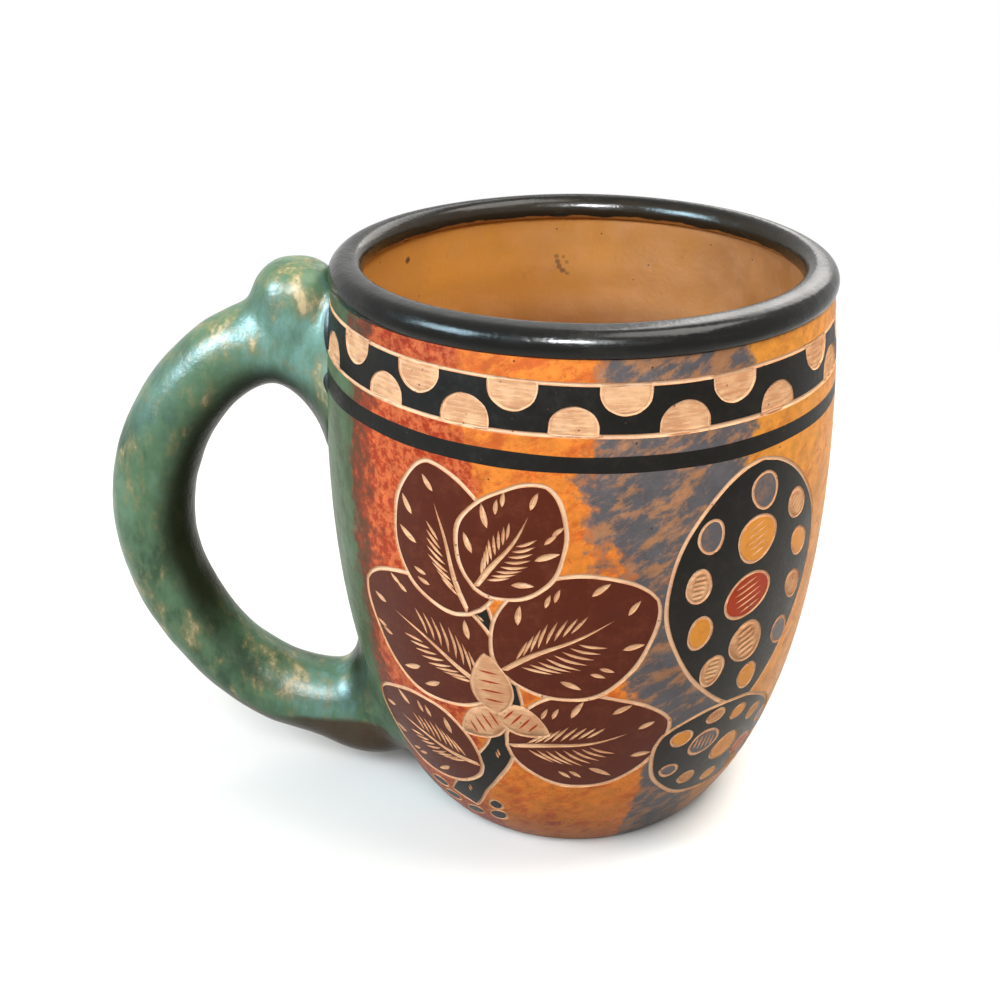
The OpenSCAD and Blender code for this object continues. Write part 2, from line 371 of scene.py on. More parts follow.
def nick(x, y, turn, long, half):
    """A short drop-shaped cut."""
    t = np.linspace(-0.5, 0.5, 7)
    line = np.stack([t * long, 0.12 * long * (0.25 - t * t)], 1)
    return stroke(rotated(line, turn) + (x, y), half)


# The motifs. Tables here are in millimetres and degrees.

STEP = 0.8 * MM


def blade(long, wide, bend, lean, full, swing, seed):
    """Edge of a long shape from (0, 0) up +Y, and its points by shares of length and half width."""
    t = np.linspace(0, 1, 60)
    mid = np.stack([bend * long * t * t, long * t], 1)
    half = wide / 2 * np.sin(math.pi * t ** lean) ** full
    side = sideways(mid) * half[:, None]

    def inside(along, across):
        return np.array([np.interp(along, t, mid[:, k]) for k in (0, 1)]) + across * np.array(
            [np.interp(along, t, side[:, k]) for k in (0, 1)])
    return drawn(evenly(hem(mid, half), STEP, closed=True), swing, seed), inside


def leaf(long, wide, bend, seed, piece):
    """A broad leaf with a midrib, side veins and nicks round its edge."""
    edge, inside = blade(long, wide, bend, 0.86, 0.62, 0.25 * MM, seed)
    rib = np.array([inside(a, 0.03 * math.sin(9 * a)) for a in np.linspace(0.0, 0.74, 18)])
    marks = [stroke(rib, 0.5 * MM, (0.8, 1, 0.8, 0.6, 0.4, 0))]
    for hand in (-1, 1):
        for k in range(8):
            a, far = 0.13 + 0.052 * k, 0.5 - 0.03 * abs(k - 3) - (0.12 if hand > 0 else 0)
            vein = curve([inside(a, hand * 0.1), inside(a + 0.05, hand * far * 0.6),
                          inside(a + 0.13, hand * far)], 0.7 * MM)
            marks.append(stroke(vein, 0.27 * MM))
        for k in range(3):
            a = 0.3 + 0.22 * k + 0.03 * math.sin(seed + 3 * k)
            here, there = inside(a, hand * 0.7), inside(a + 0.08, hand * 0.95)
            way = math.atan2(*(there - here)[::-1])
            if (k + seed) % 3 == 1:
                marks += [nick(*(here + (0, d * MM)), way, 2.6 * MM, 0.4 * MM) for d in (-0.9, 0.9)]
            else:
                marks.append(nick(*here, way, (3.7 + 0.5 * (k % 2)) * MM, 0.56 * MM))
    marks.append(nick(*inside(0.86, 0.1), math.pi / 2 + 0.3, 3.2 * MM, 0.5 * MM))
    return Motif(edge, "maroon", piece, marks).outlined(seed)


def husk(x, y, turn, long, wide):
    """A pointed bract scraped bare, with a few rust strokes left standing in it."""
    t = np.linspace(0, 1, 30)
    half = wide / 2 * np.sin(math.pi * t ** 0.8) ** 0.8
    flat = np.vstack([np.stack([half, long * t], 1), np.stack([-half, long * t], 1)[::-1][1:-1]])
    lay = placed(x, y, turn)
    made = [Motif(lay(evenly(flat, STEP, closed=True)), "bare", "husks").outlined(turn, 0.7)]
    for k in range(4):
        up = (0.22 + 0.16 * k) * long
        reach = 0.62 * np.interp(up / long, t, half)
        line = np.stack([np.linspace(-reach, reach, 5), up + np.linspace(0.3, -0.3, 5) * MM], 1)
        made.append(Motif(lay(stroke(line, 0.22 * MM).loops[0]), "rust", "hatching"))
    return made


def oval(x, y, wide, tall, turn, paint_name, piece, seed, hatched=False):
    """A small outlined oval, scraped with a few strokes if it is hatched."""
    count = max(10, int(math.pi * (wide + tall) / 2 / (0.6 * MM)))
    a = np.linspace(0, 2 * math.pi, count, endpoint=False)
    swing = 1 + 0.05 * unsteady(count, seed, (2, 3))
    flat = np.stack([wide / 2 * np.cos(a), tall / 2 * np.sin(a)], 1) * swing[:, None]
    marks = []
    for k in range(-2, 3) if hatched else ():
        reach = 0.62 * math.sqrt(1 - (k / 3.2) ** 2) * wide / 2
        t = np.linspace(-1, 1, 6)
        line = np.stack([t * reach, k * tall * 0.15 + 0.12 * MM * t], 1)
        marks.append(stroke(rotated(line, turn) + (x, y), 0.17 * MM))
    return Motif(rotated(flat, turn) + (x, y), paint_name, piece, marks).outlined(seed, 0.72)


# A pod's middle ovals: how far along they are, and their size as a share of the pod's width
POD_OVALS = ((0.13, 0.15), (0.3, 0.25), (0.5, 0.34), (0.71, 0.3), (0.88, 0.19))
OVAL_FILLS = ("ochre", "bare_oval", "rust", "ochre", "slate")
SEED_FILLS = ("slate", "bare_oval", "ochre", "bare_oval")


def pod(long, wide, bend, seed, piece):
    """A black pod with a row of ovals down its middle and seeds along its sides."""
    edge, inside = blade(long, wide, bend, 1.18, 0.6, 0.3 * MM, seed)
    made = [Motif(edge, "black", piece).outlined(seed)]
    for k, (along, size) in enumerate(POD_OVALS):
        x, y = inside(along, 0.1 * math.sin(k + seed))
        fill, tall = OVAL_FILLS[(k + seed) % 5], min(size * wide, 0.165 * long)
        made.append(oval(x, y, size * wide * 0.82, tall, bend, fill, "insets_" + fill, seed + k,
                         hatched=k in (1, 2, 3)))
    for hand in (-1, 1):
        for k, along in enumerate((0.24, 0.42, 0.6, 0.77)):
            x, y = inside(along, hand * 0.68)
            fill = SEED_FILLS[(k + (hand > 0)) % 4]
            made.append(oval(x, y, wide * 0.125, wide * 0.17, bend - hand * 0.35, fill,
                             "insets_" + fill, seed + 3 * k, hatched=fill == "bare_oval"))
    return made


def stem(points, seed):
    """A painted stem through given points."""
    line = curve(np.asarray(points, float) * MM, STEP)
    t = np.linspace(0, 1, len(line))
    half = sizes().stem_w / 2 * (1 - 0.45 * t) * (1 + 0.08 * unsteady(len(line), seed))
    edge = evenly(hem(line, half, blunt=True), STEP, closed=True)
    marks = [nick(*line[k + d], math.atan2(*(line[k + 1] - line[k])[::-1]) + 0.6, 1.7 * MM, 0.2 * MM)
             for k in range(6, len(line) - 8, 9) for d in (0, 1)]
    return Motif(edge, "black", "stems", marks).outlined(seed, 0.9)


# Base of each leaf, its direction, length, width and bend, about a spot 40 mm up
SPRIG_LEAVES = ((-4, -19, 82, 25, 20, 0.14), (1, -12, -84, 28, 21.5, -0.10),
                (0, -1, 56, 30, 23, -0.12), (1, 4, -54, 29, 23, 0.12),
                (-4, 14, 22, 26, 20.5, 0.10), (-3, 19, -38, 22, 17, -0.12))
# Base of each bare bract, its direction, length and width
SPRIG_HUSKS = ((1, -5, 128, 10, 6.4), (0, -4, -118, 9.5, 6), (0, -5, 8, 12, 7))
SPRIG_STEM = ((-10, -32), (-6, -24), (0, -13), (2, -2), (-1, 10), (-4, 21), (-3, 27))
SPRIG_BERRIES = ((-15.5, -30.5, 4.2, 3.0), (-13.5, -34.2, 4.6, 3.1), (-8.6, -36.2, 4.6, 3.0),
                 (-3.4, -34.6, 4.4, 3.0), (-3.2, -30.6, 3.4, 2.6))
# Azimuth, height, turn, mirrored, and how many leaves of the table it has
SPRIGS = ((-17, 40, 0, False, 6), (112, 41, 4, True, 6), (204, 41, -3, False, 5))
# Azimuth and height of its base, its direction, length, width and bend
PODS = ((46, 32, 10, 47, 34, 0.10), (71, 17, 76, 36, 21, 0.14), (166, 32, -10, 47, 33, -0.10),
        (141, 17, -76, 34, 20, -0.14))


def vine_motifs():
    """Stems, berries, leaves and pods, with what is painted later after what it covers."""
    made = []
    for n, (azimuth, height, turn, mirrored, leaves) in enumerate(SPRIGS):
        shapes = [stem(SPRIG_STEM, n + 1)]
        for k, berry in enumerate(SPRIG_BERRIES):
            shapes.append(oval(*(c * MM for c in berry), 0.3 * k, "black", "stems", n + k))
        for k, (x, y, way, long, wide, bend) in enumerate(SPRIG_LEAVES[:leaves]):
            shape = leaf(long * MM, wide * MM, bend, 3 * n + k, f"leaf_{n + 1}_{k + 1}")
            shapes.append(shape.laid(placed(x, y, way)))
        for x, y, way, long, wide in SPRIG_HUSKS:
            shapes += husk(x, y, way, long * MM, wide * MM)
        made += [shape.laid(on_cup(azimuth, height * MM, turn, mirrored)) for shape in shapes]
    for n, (azimuth, height, turn, long, wide, bend) in enumerate(PODS):
        made += [shape.laid(on_cup(azimuth, height * MM, turn))
                 for shape in pod(long * MM, wide * MM, bend, n, f"pod_{n + 1}")]
    return made


# The bands. They stop inside the upper joint, at these azimuths before and behind it.
BAND_START, BAND_END = -88.5, 268.5
STRIPE_ENDS = (-77.5, 257.5)
# How many dots rise from the band's lower edge and hang from its upper edge, and their pitch
RISING_DOTS, HANGING_DOTS, DOT_PITCH = 15, 14, 22.5
# How far each visible dot wandered from its place, in degrees, from the handle round
RISING_SLIPS = (-1.6, 1.2, -0.8, -0.8, -0.7, 0.1, 2.6, 2.0)
HANGING_SLIPS = (0.7, -1.0, -2.0, -1.7, -0.6, 4.4, 2.4)


def dip(azimuth):
    """How far the hand-drawn bands lie above their true height."""
    a = np.radians(azimuth)
    return -sizes().band_tilt * np.cos(a) - 0.3 * MM * np.sin(a)


def band_line(height, seed, swing=0.12 * MM, start=BAND_START, end=BAND_END):
    azimuths = np.linspace(start, end, 340)
    t = np.radians(azimuths)
    wave = sum(np.sin(k * t + seed * k) for k in (4, 7, 11)) / 3
    return np.stack([round_to(azimuths), climb(height + dip(azimuths) + swing * wave)], 1)


def stripe_edge():
    """Outline of the plain stripe, which is brushed on thickly beside the handle."""
    line = band_line((STRIPE_LOW.z + STRIPE_HIGH.z) / 2, 1, 0.08 * MM, *STRIPE_ENDS)
    t = np.linspace(0, 1, len(line))
    from_end = np.minimum(t, 1 - t)
    half = (STRIPE_HIGH.z - STRIPE_LOW.z) / 2 * (1.06 + 0.5 * np.exp(-from_end / 0.06))
    half *= np.sqrt(np.minimum(1, from_end / 0.007)) * (1 + 0.05 * np.sin(60 * t) * np.sin(23 * t))
    return evenly(hem(line, half), STEP, closed=True)


def dot_shape(wide, tall):
    """Outline of a half-round dot that stands on (0, 0)."""
    straight = tall - wide / 2
    a = np.linspace(0, math.pi, 18)
    arc = np.stack([wide / 2 * np.cos(a), straight + wide / 2 * np.sin(a) ** 0.9], 1)
    return evenly(np.vstack([[(wide / 2, 0)], arc, [(-wide / 2, 0)]]), 0.7 * MM, closed=True)


def scraper_rows(wide, tall):
    """Lines across a dot where the scraper left its ridges and hollows."""
    rows = []
    step = sizes().scrape
    for k in range(1, int(tall / step)):
        y = k * step
        over = max(0, y - (tall - wide / 2))
        half = math.sqrt(max(0, (wide / 2) ** 2 - over ** 2)) - 0.45 * MM
        if half > 0.5 * MM:
            x = np.linspace(-half, half, max(4, int(2 * half / (0.8 * MM))))
            rows.append(np.stack([x, y + 0.08 * MM * np.sin(x / (1.1 * MM) + k)], 1))
    return rows


def band_motifs():
    """The plain stripe, the dotted band and its dots, rising and hanging by turns."""
    own = sizes()
    made = [Motif(stripe_edge(), "black", "stripe")]
    low, high = band_line(BAND_LOW.z, 3), band_line(BAND_HIGH.z, 4)
    made.append(Motif(np.vstack([low, high[::-1]]), "black", "dotted_slip").outlined(5, 0.92))
    for rising, line, slips, count in ((True, low, RISING_SLIPS, RISING_DOTS),
                                       (False, high, HANGING_SLIPS, HANGING_DOTS)):
        for k in range(count):
            slipped = slips[k] if k < len(slips) else 1.3 * math.sin(2.3 * k + rising)
            azimuth = -90 + DOT_PITCH * (k + (1 if rising else 1.5)) + slipped
            size = 0.94 + 0.04 * math.sin(3.1 * k + 2 * rising)
            wide, tall = own.dot_w * size, own.dot_h * size
            edge = drawn(dot_shape(wide, tall), 0.13 * MM, k)
            scrape = Mark([edge], scraper_rows(wide, tall), own.dot_depth, scraped=True)
            foot = float(wall_value("z", np.interp(round_to(azimuth), line[:, 0], line[:, 1])))
            dot = Motif(edge, "bare", "dotted_slip", [scrape]).outlined(k, 0.5)
            made.append(dot.laid(on_cup(azimuth, foot, 0 if rising else 180)))
    return made


# The skin: every line above is meshed into one sheet, which is then cut into pieces

# The sheet goes once round, from the handle to the handle
U_LOW, U_HIGH = -math.pi / 2 * BELLY_R, 1.5 * math.pi * BELLY_R
# Distance between the grid's points, and how many panels the ground and the carving are cut into
GRID, PANELS = 2.3 * MM, 4
# How far the grid's points keep from the drawn lines, and how many points are tested at a time
CLEAR, CHUNK = 0.7 * MM, 2000


def crossings(points, loops):
    """True for the points that lie inside the loops, holes left out."""
    odd = np.zeros(len(points), bool)
    for loop in loops:
        after = np.roll(loop, -1, 0)
        for k in range(0, len(points), CHUNK):
            x, y = points[k:k + CHUNK, 0, None], points[k:k + CHUNK, 1, None]
            spans = (loop[:, 1] > y) != (after[:, 1] > y)
            rise = np.where(spans, after[:, 1] - loop[:, 1], 1)
            at = loop[:, 0] + (y - loop[:, 1]) * (after[:, 0] - loop[:, 0]) / rise
            odd[k:k + CHUNK] ^= (spans & (x < at)).sum(1) % 2 == 1
    return odd


def from_edge(points, loops):
    """Distance of each point from the nearest side of the loops."""
    least = np.full(len(points), np.inf)
    for loop in loops:
        side = np.roll(loop, -1, 0) - loop
        square = np.maximum((side ** 2).sum(1), 1e-18)
        for k in range(0, len(points), CHUNK):
            rel = points[k:k + CHUNK, None] - loop
            t = np.clip((rel * side).sum(2) / square, 0, 1)
            gap = np.linalg.norm(rel - t[..., None] * side, axis=2).min(1)
            least[k:k + CHUNK] = np.minimum(least[k:k + CHUNK], gap)
    return least


def near(points, loop):
    low, high = loop.min(0), loop.max(0)
    return np.flatnonzero(((points >= low) & (points <= high)).all(1))


def survey(points, motifs, measure):
    """For each place, the number of the motif on top, whether it is carved, and how deep."""
    top = np.zeros(len(points), int)
    carved = np.zeros(len(points), bool)
    depth = np.zeros(len(points))
    for rank, motif in enumerate(motifs, 1):
        found = near(points, motif.outer)
        found = found[crossings(points[found], [motif.outer])]
        top[found], carved[found], depth[found] = rank, False, 0
        for mark in motif.marks:
            cut = near(points, mark.loops[0] if len(mark.loops) == 1 else motif.outer)
            cut = cut[crossings(points[cut], mark.loops)]
            carved[cut] = True
            if measure and len(cut):
                full = smooth(from_edge(points[cut], mark.loops) / sizes().cut_wall) * mark.depth
                if mark.scraped:
                    across, up = points[cut].T
                    full *= 1 + 0.3 * np.cos(math.pi * up / sizes().scrape
                                             + 1.5 * np.sin(across / (2.3 * MM)))
                depth[cut] = np.maximum(depth[cut], full)
    return top, carved, depth


def trimmed(motifs):
    """The motifs without the veins and nicks that a later leaf or pod covers in part."""
    for k, motif in enumerate(motifs):
        over = [later.outer for later in motifs[k + 1:] if later.piece[:4] in ("leaf", "pod_")]
        motif.marks[2:] = [mark for mark in motif.marks[2:]
                           if not any(crossings(mark.loops[0], [outer]).any() for outer in over)]
    return motifs


@lru_cache
def skin():
    """The outside of the wall as one triangulated sheet, with what lies on each face."""
    motifs = trimmed(band_motifs() + vine_motifs())
    points, edges = [], []

    def add(line, closed=False):
        first = len(points)
        points.extend(map(tuple, line))
        edges.extend((k, k + 1) for k in range(first, len(points) - 1))
        if closed:
            edges.append((len(points) - 1, first))

    top_s = wall()["s"][-1]
    across = np.linspace(U_LOW, U_HIGH, int((U_HIGH - U_LOW) / GRID))
    upward = np.linspace(0, top_s, int(top_s / GRID))
    for s in (0, top_s):
        add(np.stack([across, np.full(len(across), s)], 1))
    for u in (U_LOW, U_HIGH, *(mix(U_LOW, U_HIGH, k / PANELS) for k in range(1, PANELS))):
        add(np.stack([np.full(len(upward), u), upward], 1))
    fixed = len(points)
    for motif in motifs:
        if not motif.marks:
            add(motif.edge, closed=True)
        for mark in motif.marks:
            for loop in mark.loops:
                add(loop, closed=True)
            for row in mark.rows:
                add(row)
    tree = KDTree(len(points))
    for k, (u, s) in enumerate(points):
        tree.insert((u, s, 0), k)
    tree.balance()
    for row, s in enumerate(upward[1:-1]):
        for u in across[1:-1] + (GRID / 2 if row % 2 else 0):
            if u < U_HIGH - GRID / 2 and tree.find((u, s, 0))[2] > CLEAR:
                points.append((u, s))
    flat = np.array(points)
    flat[fixed:, 1] = np.clip(flat[fixed:, 1], 0.5 * MM, top_s - 0.2 * MM)
    made = delaunay_2d_cdt([Vector(p) for p in flat], edges, [], 0, 1e-6, False)
    places = np.array([tuple(p) for p in made[0]])
    faces = np.array([f for f in made[2] if len(f) == 3])
    centres = places[faces].mean(1)
    top, carved, _ = survey(centres, motifs, False)
    depth = survey(places, motifs, True)[2]
    spots, out = on_wall(places)
    return {"places": places, "faces": faces, "centres": centres, "top": top, "carved": carved,
            "points": spots - out * depth[:, None], "out": out, "depth": depth, "motifs": motifs}


# Meshes

def linked(name, data):
    """A new object in the scene."""
    made = bpy.data.objects.new(name, data)
    bpy.context.scene.collection.objects.link(made)
    return made


def store(mesh, name, kind, values):
    """Keeps a number or a vector for each point of a mesh, for the shader to read."""
    layer = mesh.attributes.new(name, kind, "POINT")
    layer.data.foreach_set("value" if kind == "FLOAT" else "vector", np.ravel(values))


def new_piece(name, points, faces, material, nodes, uv=None, normals=None):
    """A piece of the mug from its mesh, on the one body that the mug has."""
    mesh = bpy.data.meshes.new(name)
    mesh.from_pydata([tuple(p) for p in points], [], [tuple(map(int, f)) for f in faces])
    mesh.polygons.foreach_set("use_smooth", [True] * len(mesh.polygons))
    if uv is not None:
        corners = np.zeros(len(mesh.loops), int)
        mesh.loops.foreach_get("vertex_index", corners)
        mesh.uv_layers.new(name="OFBake").data.foreach_set("uv", uv[corners].ravel())
    mesh.validate()
    mesh.update()
    if normals is not None:
        mesh.normals_split_custom_set_from_vertices([tuple(n) for n in normals])
    mesh.materials.append(material)
    piece = linked(name, mesh)
    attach(piece, "root")
    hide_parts(*nodes)
    return mesh


def skin_piece(name, chosen, material, node="cup_body", cut=False):
    """A piece made of the chosen faces of the skin."""
    sheet = skin()
    faces = sheet["faces"][chosen]
    if not len(faces):
        raise RuntimeError(f"the skin has no face for {name}")
    used, index = np.unique(faces, return_inverse=True)
    places = sheet["places"][used]
    low, high = places.min(0), places.max(0)
    mesh = new_piece(name, sheet["points"][used], index.reshape(-1, 3), material, [node],
                     (places - low) / (high - low), None if cut else sheet["out"][used])
    store(mesh, "place", "FLOAT_VECTOR", np.column_stack([places, np.zeros(len(places))]))
    store(mesh, "cut", "FLOAT", sheet["depth"][used] / sizes().cut_depth)


def grid_piece(name, rows, material, node, closed=False):
    """A piece through rows of points that each go once round the cup, nearest the foot first."""
    rows = np.asarray(rows)
    if closed:
        rows = np.concatenate([rows, rows[:1]])
    rows = np.concatenate([rows, rows[:, :1]], 1)
    count, around = rows.shape[:2]
    at = np.arange(count * around).reshape(count, around)
    faces = np.stack([at[:-1, :-1], at[:-1, 1:], at[1:, 1:], at[1:, :-1]], -1).reshape(-1, 4)
    u, v = np.meshgrid(np.linspace(0, 1, around), np.linspace(0, 1, count))
    new_piece(name, rows.reshape(-1, 3), faces, material, [node],
              np.stack([u.ravel(), v.ravel()], 1), grid_normals(rows, closed))


def grid_normals(rows, closed):
    """Directions out of a grid that closes on itself along each row, seams included."""
    way = np.empty_like(rows)
    way[:, 1:-1] = rows[:, 2:] - rows[:, :-2]
    way[:, 0] = way[:, -1] = rows[:, 1] - rows[:, -2]
    rise = np.gradient(rows, axis=0)
    if closed:
        rise[0] = rise[-1] = rows[1] - rows[-2]
    out = np.cross(way, rise).reshape(-1, 3)
    size = np.linalg.norm(out, axis=1)
    out[size < 1e-12] = (0, 0, 1)
    return out / np.maximum(size, 1e-12)[:, None]


# Materials

class Signal:
    """A value on its way through a tree of nodes, so that sums can be written as sums."""

    def __init__(self, shader, socket):
        self.shader, self.socket = shader, socket

    def __add__(self, other):
        return self.shader.math("ADD", self, other)

    def __sub__(self, other):
        return self.shader.math("SUBTRACT", self, other)

    def __mul__(self, other):
        return self.shader.math("MULTIPLY", self, other)


class Shader:
    """The nodes of a material or a world, with short calls for what the slips are mixed from."""

    def __init__(self, name, blocks="materials"):
        self.block = getattr(bpy.data, blocks).new(name)
        self.block.use_nodes = True
        self.block.node_tree.nodes.clear()
        self.spot = self.node("TexCoord", out="Object")

    def node(self, kind, inputs=(), out=0, **settings):
        """Adds a node and gives one of its outputs, if it has any."""
        tree = self.block.node_tree
        made = tree.nodes.new("ShaderNode" + kind)
        for key, value in settings.items():
            setattr(made, key, value)
        for key, value in dict(inputs).items():
            socket = made.inputs[key]
            if isinstance(value, Signal):
                tree.links.new(value.socket, socket)
            else:
                socket.default_value = (*value, 1) if socket.type == "RGBA" else value
        return Signal(self, made.outputs[out]) if len(made.outputs) else None

    def attribute(self, name, out="Fac"):
        return self.node("Attribute", (), out, attribute_name=name)

    def grain(self, size, detail=2, stretch=(1, 1, 1), shift=0, where=None, rough=0.55):
        """Noise from 0 to 1 whose grains are about a size in metres."""
        moved = self.node("Mapping", {"Vector": where or self.spot, "Location": (shift,) * 3,
                                      "Scale": stretch})
        return self.node("TexNoise", {"Vector": moved, "Scale": 1 / size, "Detail": detail,
                                      "Roughness": rough})

    def spots(self, size):
        """Distance from the nearest of many scattered centres."""
        return self.node("TexVoronoi", {"Vector": self.spot, "Scale": 1 / size})

    def off(self, place):
        """Distance from a place that is given in millimetres."""
        return self.node("VectorMath", {0: self.spot, 1: [c * MM for c in place]}, "Value",
                         operation="DISTANCE")

    def math(self, operation, a, b=0.0):
        return self.node("Math", {0: a, 1: b}, operation=operation)

    def step(self, value, low, high, least=0.0, most=1.0):
        """least below low, most above high, and smooth between."""
        return self.node("MapRange", {"Value": value, "From Min": low, "From Max": high,
                                      "To Min": least, "To Max": most},
                         interpolation_type="SMOOTHSTEP")

    def blend(self, share, a, b, way="MIX"):
        return self.node("Mix", {0: share, 6: a, 7: b}, 2, data_type="RGBA", blend_type=way)

    def dim(self, colour, tone):
        grey = self.node("CombineXYZ", {0: tone, 1: tone, 2: tone})
        return self.blend(1.0, colour, grey, "MULTIPLY")

    def ramp(self, value, stops):
        """Colours or numbers at places from 0 to 1, straight between."""
        made = self.node("ValToRGB", {0: value})
        bar = made.socket.node.color_ramp.elements
        while len(bar) < len(stops):
            bar.new(0.5)
        for element, (place, colour) in zip(bar, sorted(stops, key=lambda stop: stop[0])):
            element.position = place
            element.color = (*colour, 1) if hasattr(colour, "__len__") else (colour,) * 3 + (1,)
        return made

    def parts(self, vector):
        return [self.node("SeparateXYZ", {0: vector}, out) for out in "XYZ"]

    def seen(self):
        """1 where the camera looks, also by way of gloss or glass, and 0 for all other light."""
        camera, gloss, glass = (self.node("LightPath", (), f"Is {kind} Ray")
                                for kind in ("Camera", "Glossy", "Transmission"))
        return self.math("MAXIMUM", camera, self.math("MAXIMUM", gloss, glass))

    def bump(self, height, distance, under=None):
        below = {"Normal": under} if under else {}
        return self.node("Bump", {"Height": height, "Distance": distance, **below})

    def done(self, colour, roughness, normal, coat=0.0, coat_roughness=0.2, specular=0.1):
        shader = self.node("BsdfPrincipled", {
            "Base Color": colour, "Roughness": roughness, "Normal": normal, "Coat Weight": coat,
            "Coat Roughness": coat_roughness, "Specular IOR Level": specular})
        self.node("OutputMaterial", {"Surface": shader})
        return self.block


# Paints that only tint a slip or the clay here and there. Some are painted light and shade: the dark olive
# of the handle's painted shade, the pale teal of its painted highlights, and the brown below it, partly
# soil and partly painted shade.
SPECK, PIT, STAIN = srgb(58, 42, 32), srgb(120, 74, 50), srgb(58, 40, 28)
OLIVE, PAINTED_SHEEN, SCUFFED = srgb(104, 92, 40), srgb(124, 168, 158), srgb(132, 126, 84)
PAINTED_SHADE, SOIL_AND_SHADE = srgb(32, 35, 20), srgb(70, 47, 33)
RIM_RUBBED, RIM_THIN = srgb(46, 44, 36), srgb(58, 48, 34)
CLAY_LIGHT, CLAY_RUST = srgb(212, 148, 84), srgb(150, 90, 52)

# Where each ground colour ends, in degrees, with its two paints, how much of the second paint
# shows as clouds and as fine grain, and how softly the colour ends
ZONES = (
    (-57.5, "green", "green_light", 0.35, 0.3, 2.4),
    (-50.5, "umber", "red", 0.3, 0.36, 2.8),
    (-24.0, "red", "red_light", 0.1, 0.62, 1.6),
    (3.0, "orange", "orange_dark", 0.42, 0.3, 1.6),
    (38.0, "slate", "slate_warm", 0.46, 0.15, 1.6),
    (97.0, "ochre", "ochre_dark", 0.34, 0.26, 1.6),
    (138.0, "red", "red_light", 0.1, 0.62, 1.6),
    (172.0, "slate", "slate_warm", 0.42, 0.12, 1.6),
    (207.0, "orange", "orange_dark", 0.42, 0.3, 1.6),
    (233.0, "red", "red_light", 0.1, 0.6, 2.8),
    (240.0, "umber", "red", 0.3, 0.36, 2.4),
    (270.0, "green", "green_light", 0.35, 0.3, 2.4),
)


def zoned(m, share, value):
    """Ramp of something that changes from zone to zone, by a share of the way round."""
    stops, start, soft = [], -90.0, 0
    for zone in ZONES:
        stops.append(((start + soft + 90) / 360, value(zone)))
        start, soft = zone[0], zone[5]
        stops.append(((start - soft + 90) / 360, value(zone)))
    return m.ramp(share, stops)


def wet(m, colour):
    """The few dark specks that every slip has."""
    speck = m.step(m.spots(2.1 * MM), 0.06, 0.10, 1, 0) * m.step(m.grain(6 * MM, 1, shift=3), 0.52, 0.6)
    return m.blend(speck, colour, SPECK)


@lru_cache
def ground_slip():
    """The mottled zones of colour, with the green beside the handle and painted shade towards the foot."""
    m = Shader("ground_slip")
    place = m.attribute("place", "Vector")
    u, up, _ = m.parts(place)
    # Share of the way round from the handle. It leans at the front, and the zones end raggedly.
    share = u * (1 / (U_HIGH - U_LOW)) + 0.25
    beside = m.step(share, 0.19, 0.25) * m.step(share, 0.28, 0.36, 1, 0)
    share -= beside * m.step(up, 0.02, 0.085, 0.05, 0)
    ragged = m.grain(9 * MM, 3, shift=1, rough=0.62) - 0.5
    torn = m.grain(1.6 * MM, 3, shift=2, rough=0.6) - 0.5
    share += ragged * 0.06 + torn * 0.03
    base = zoned(m, share, lambda zone: slip(zone[1]))
    other = zoned(m, share, lambda zone: slip(zone[2]))
    leafy = zoned(m, share, lambda zone: float(zone[1] == "green"))
    grains = zoned(m, share, lambda zone: zone[4])
    neck = m.step(up, climb(84 * MM), climb(92 * MM))
    clouds = zoned(m, share, lambda zone: zone[3])
    clouds += neck * m.step(share, 0.17, 0.19) * m.step(share, 0.35, 0.37, 1, 0) * 0.17
    slanted = m.node("Mapping", {"Vector": place, "Rotation": (0, 0, -0.5)})
    drift = m.grain(3.8 * MM, 6, (0.62, 1.35, 1), 4, slanted, 0.7)
    cover = m.step(drift + (clouds * 0.42 - 0.21), 0.46, 0.6)
    fine = m.grain(1.4 * MM, 5, (1, 0.7, 1), 5, rough=0.72)
    specks = m.step(fine + (grains * 0.34 - 0.17), 0.46, 0.62)
    colour = m.blend(m.math("MAXIMUM", cover * 0.85, specks * 0.7), base, other)
    colour = m.blend(leafy, colour, m.blend(0.22, green_coat(m)[0], OLIVE))
    tone = m.step(m.grain(14 * MM, 3, shift=6), 0.3, 0.7, 0.88, 1.06) * m.step(
        m.grain(2.4 * MM, 5, shift=29, rough=0.7), 0.3, 0.7, 0.84, 1.12)
    # Painted shade: darker towards the foot, and more so low down from the front right round to the back.
    # Left of the front, as far as the red, the wall is also darker just below the rim roll.
    darkening = m.step(ragged * 0.02 + up, 0.004, 0.03, 0.7, 1.0)
    darkening -= m.step(share, 0.27, 0.32) * m.step(up, 0.004, 0.022, 0.45, 0)
    darkening -= neck * m.step(share, 0.17, 0.2, 0.16, 0)
    normal = m.bump(m.grain(7 * MM, 2, (1, 3, 1), 7, place), 0.12 * MM, m.bump(fine, 0.03 * MM))
    return m.done(wet(m, m.dim(colour, tone * darkening)), m.step(fine, 0.2, 0.8, 0.34, 0.5), normal,
                  coat=0.05, coat_roughness=0.3)


@lru_cache
def burnished(name, first, second, gloss=0.36, share=0.5):
    """A slip rubbed smooth, with faint marks of the burnishing stone."""
    m = Shader(name)
    rubbed = m.grain(3.2 * MM, 4, shift=8, rough=0.65)
    fine = m.grain(0.7 * MM, 3, shift=9, rough=0.6)
    stone = m.grain(1.3 * MM, 2, (0.25, 1, 0.4), 10)
    colour = m.blend(m.step(fine * 0.35 + rubbed, 0.62, 0.95, 0, share), slip(first), slip(second))
    rough = m.step(rubbed + fine, 0.6, 1.3, gloss - 0.06, gloss + 0.1)
    return m.done(wet(m, colour), rough, m.bump(fine + stone, 0.03 * MM), 0.05, 0.25)


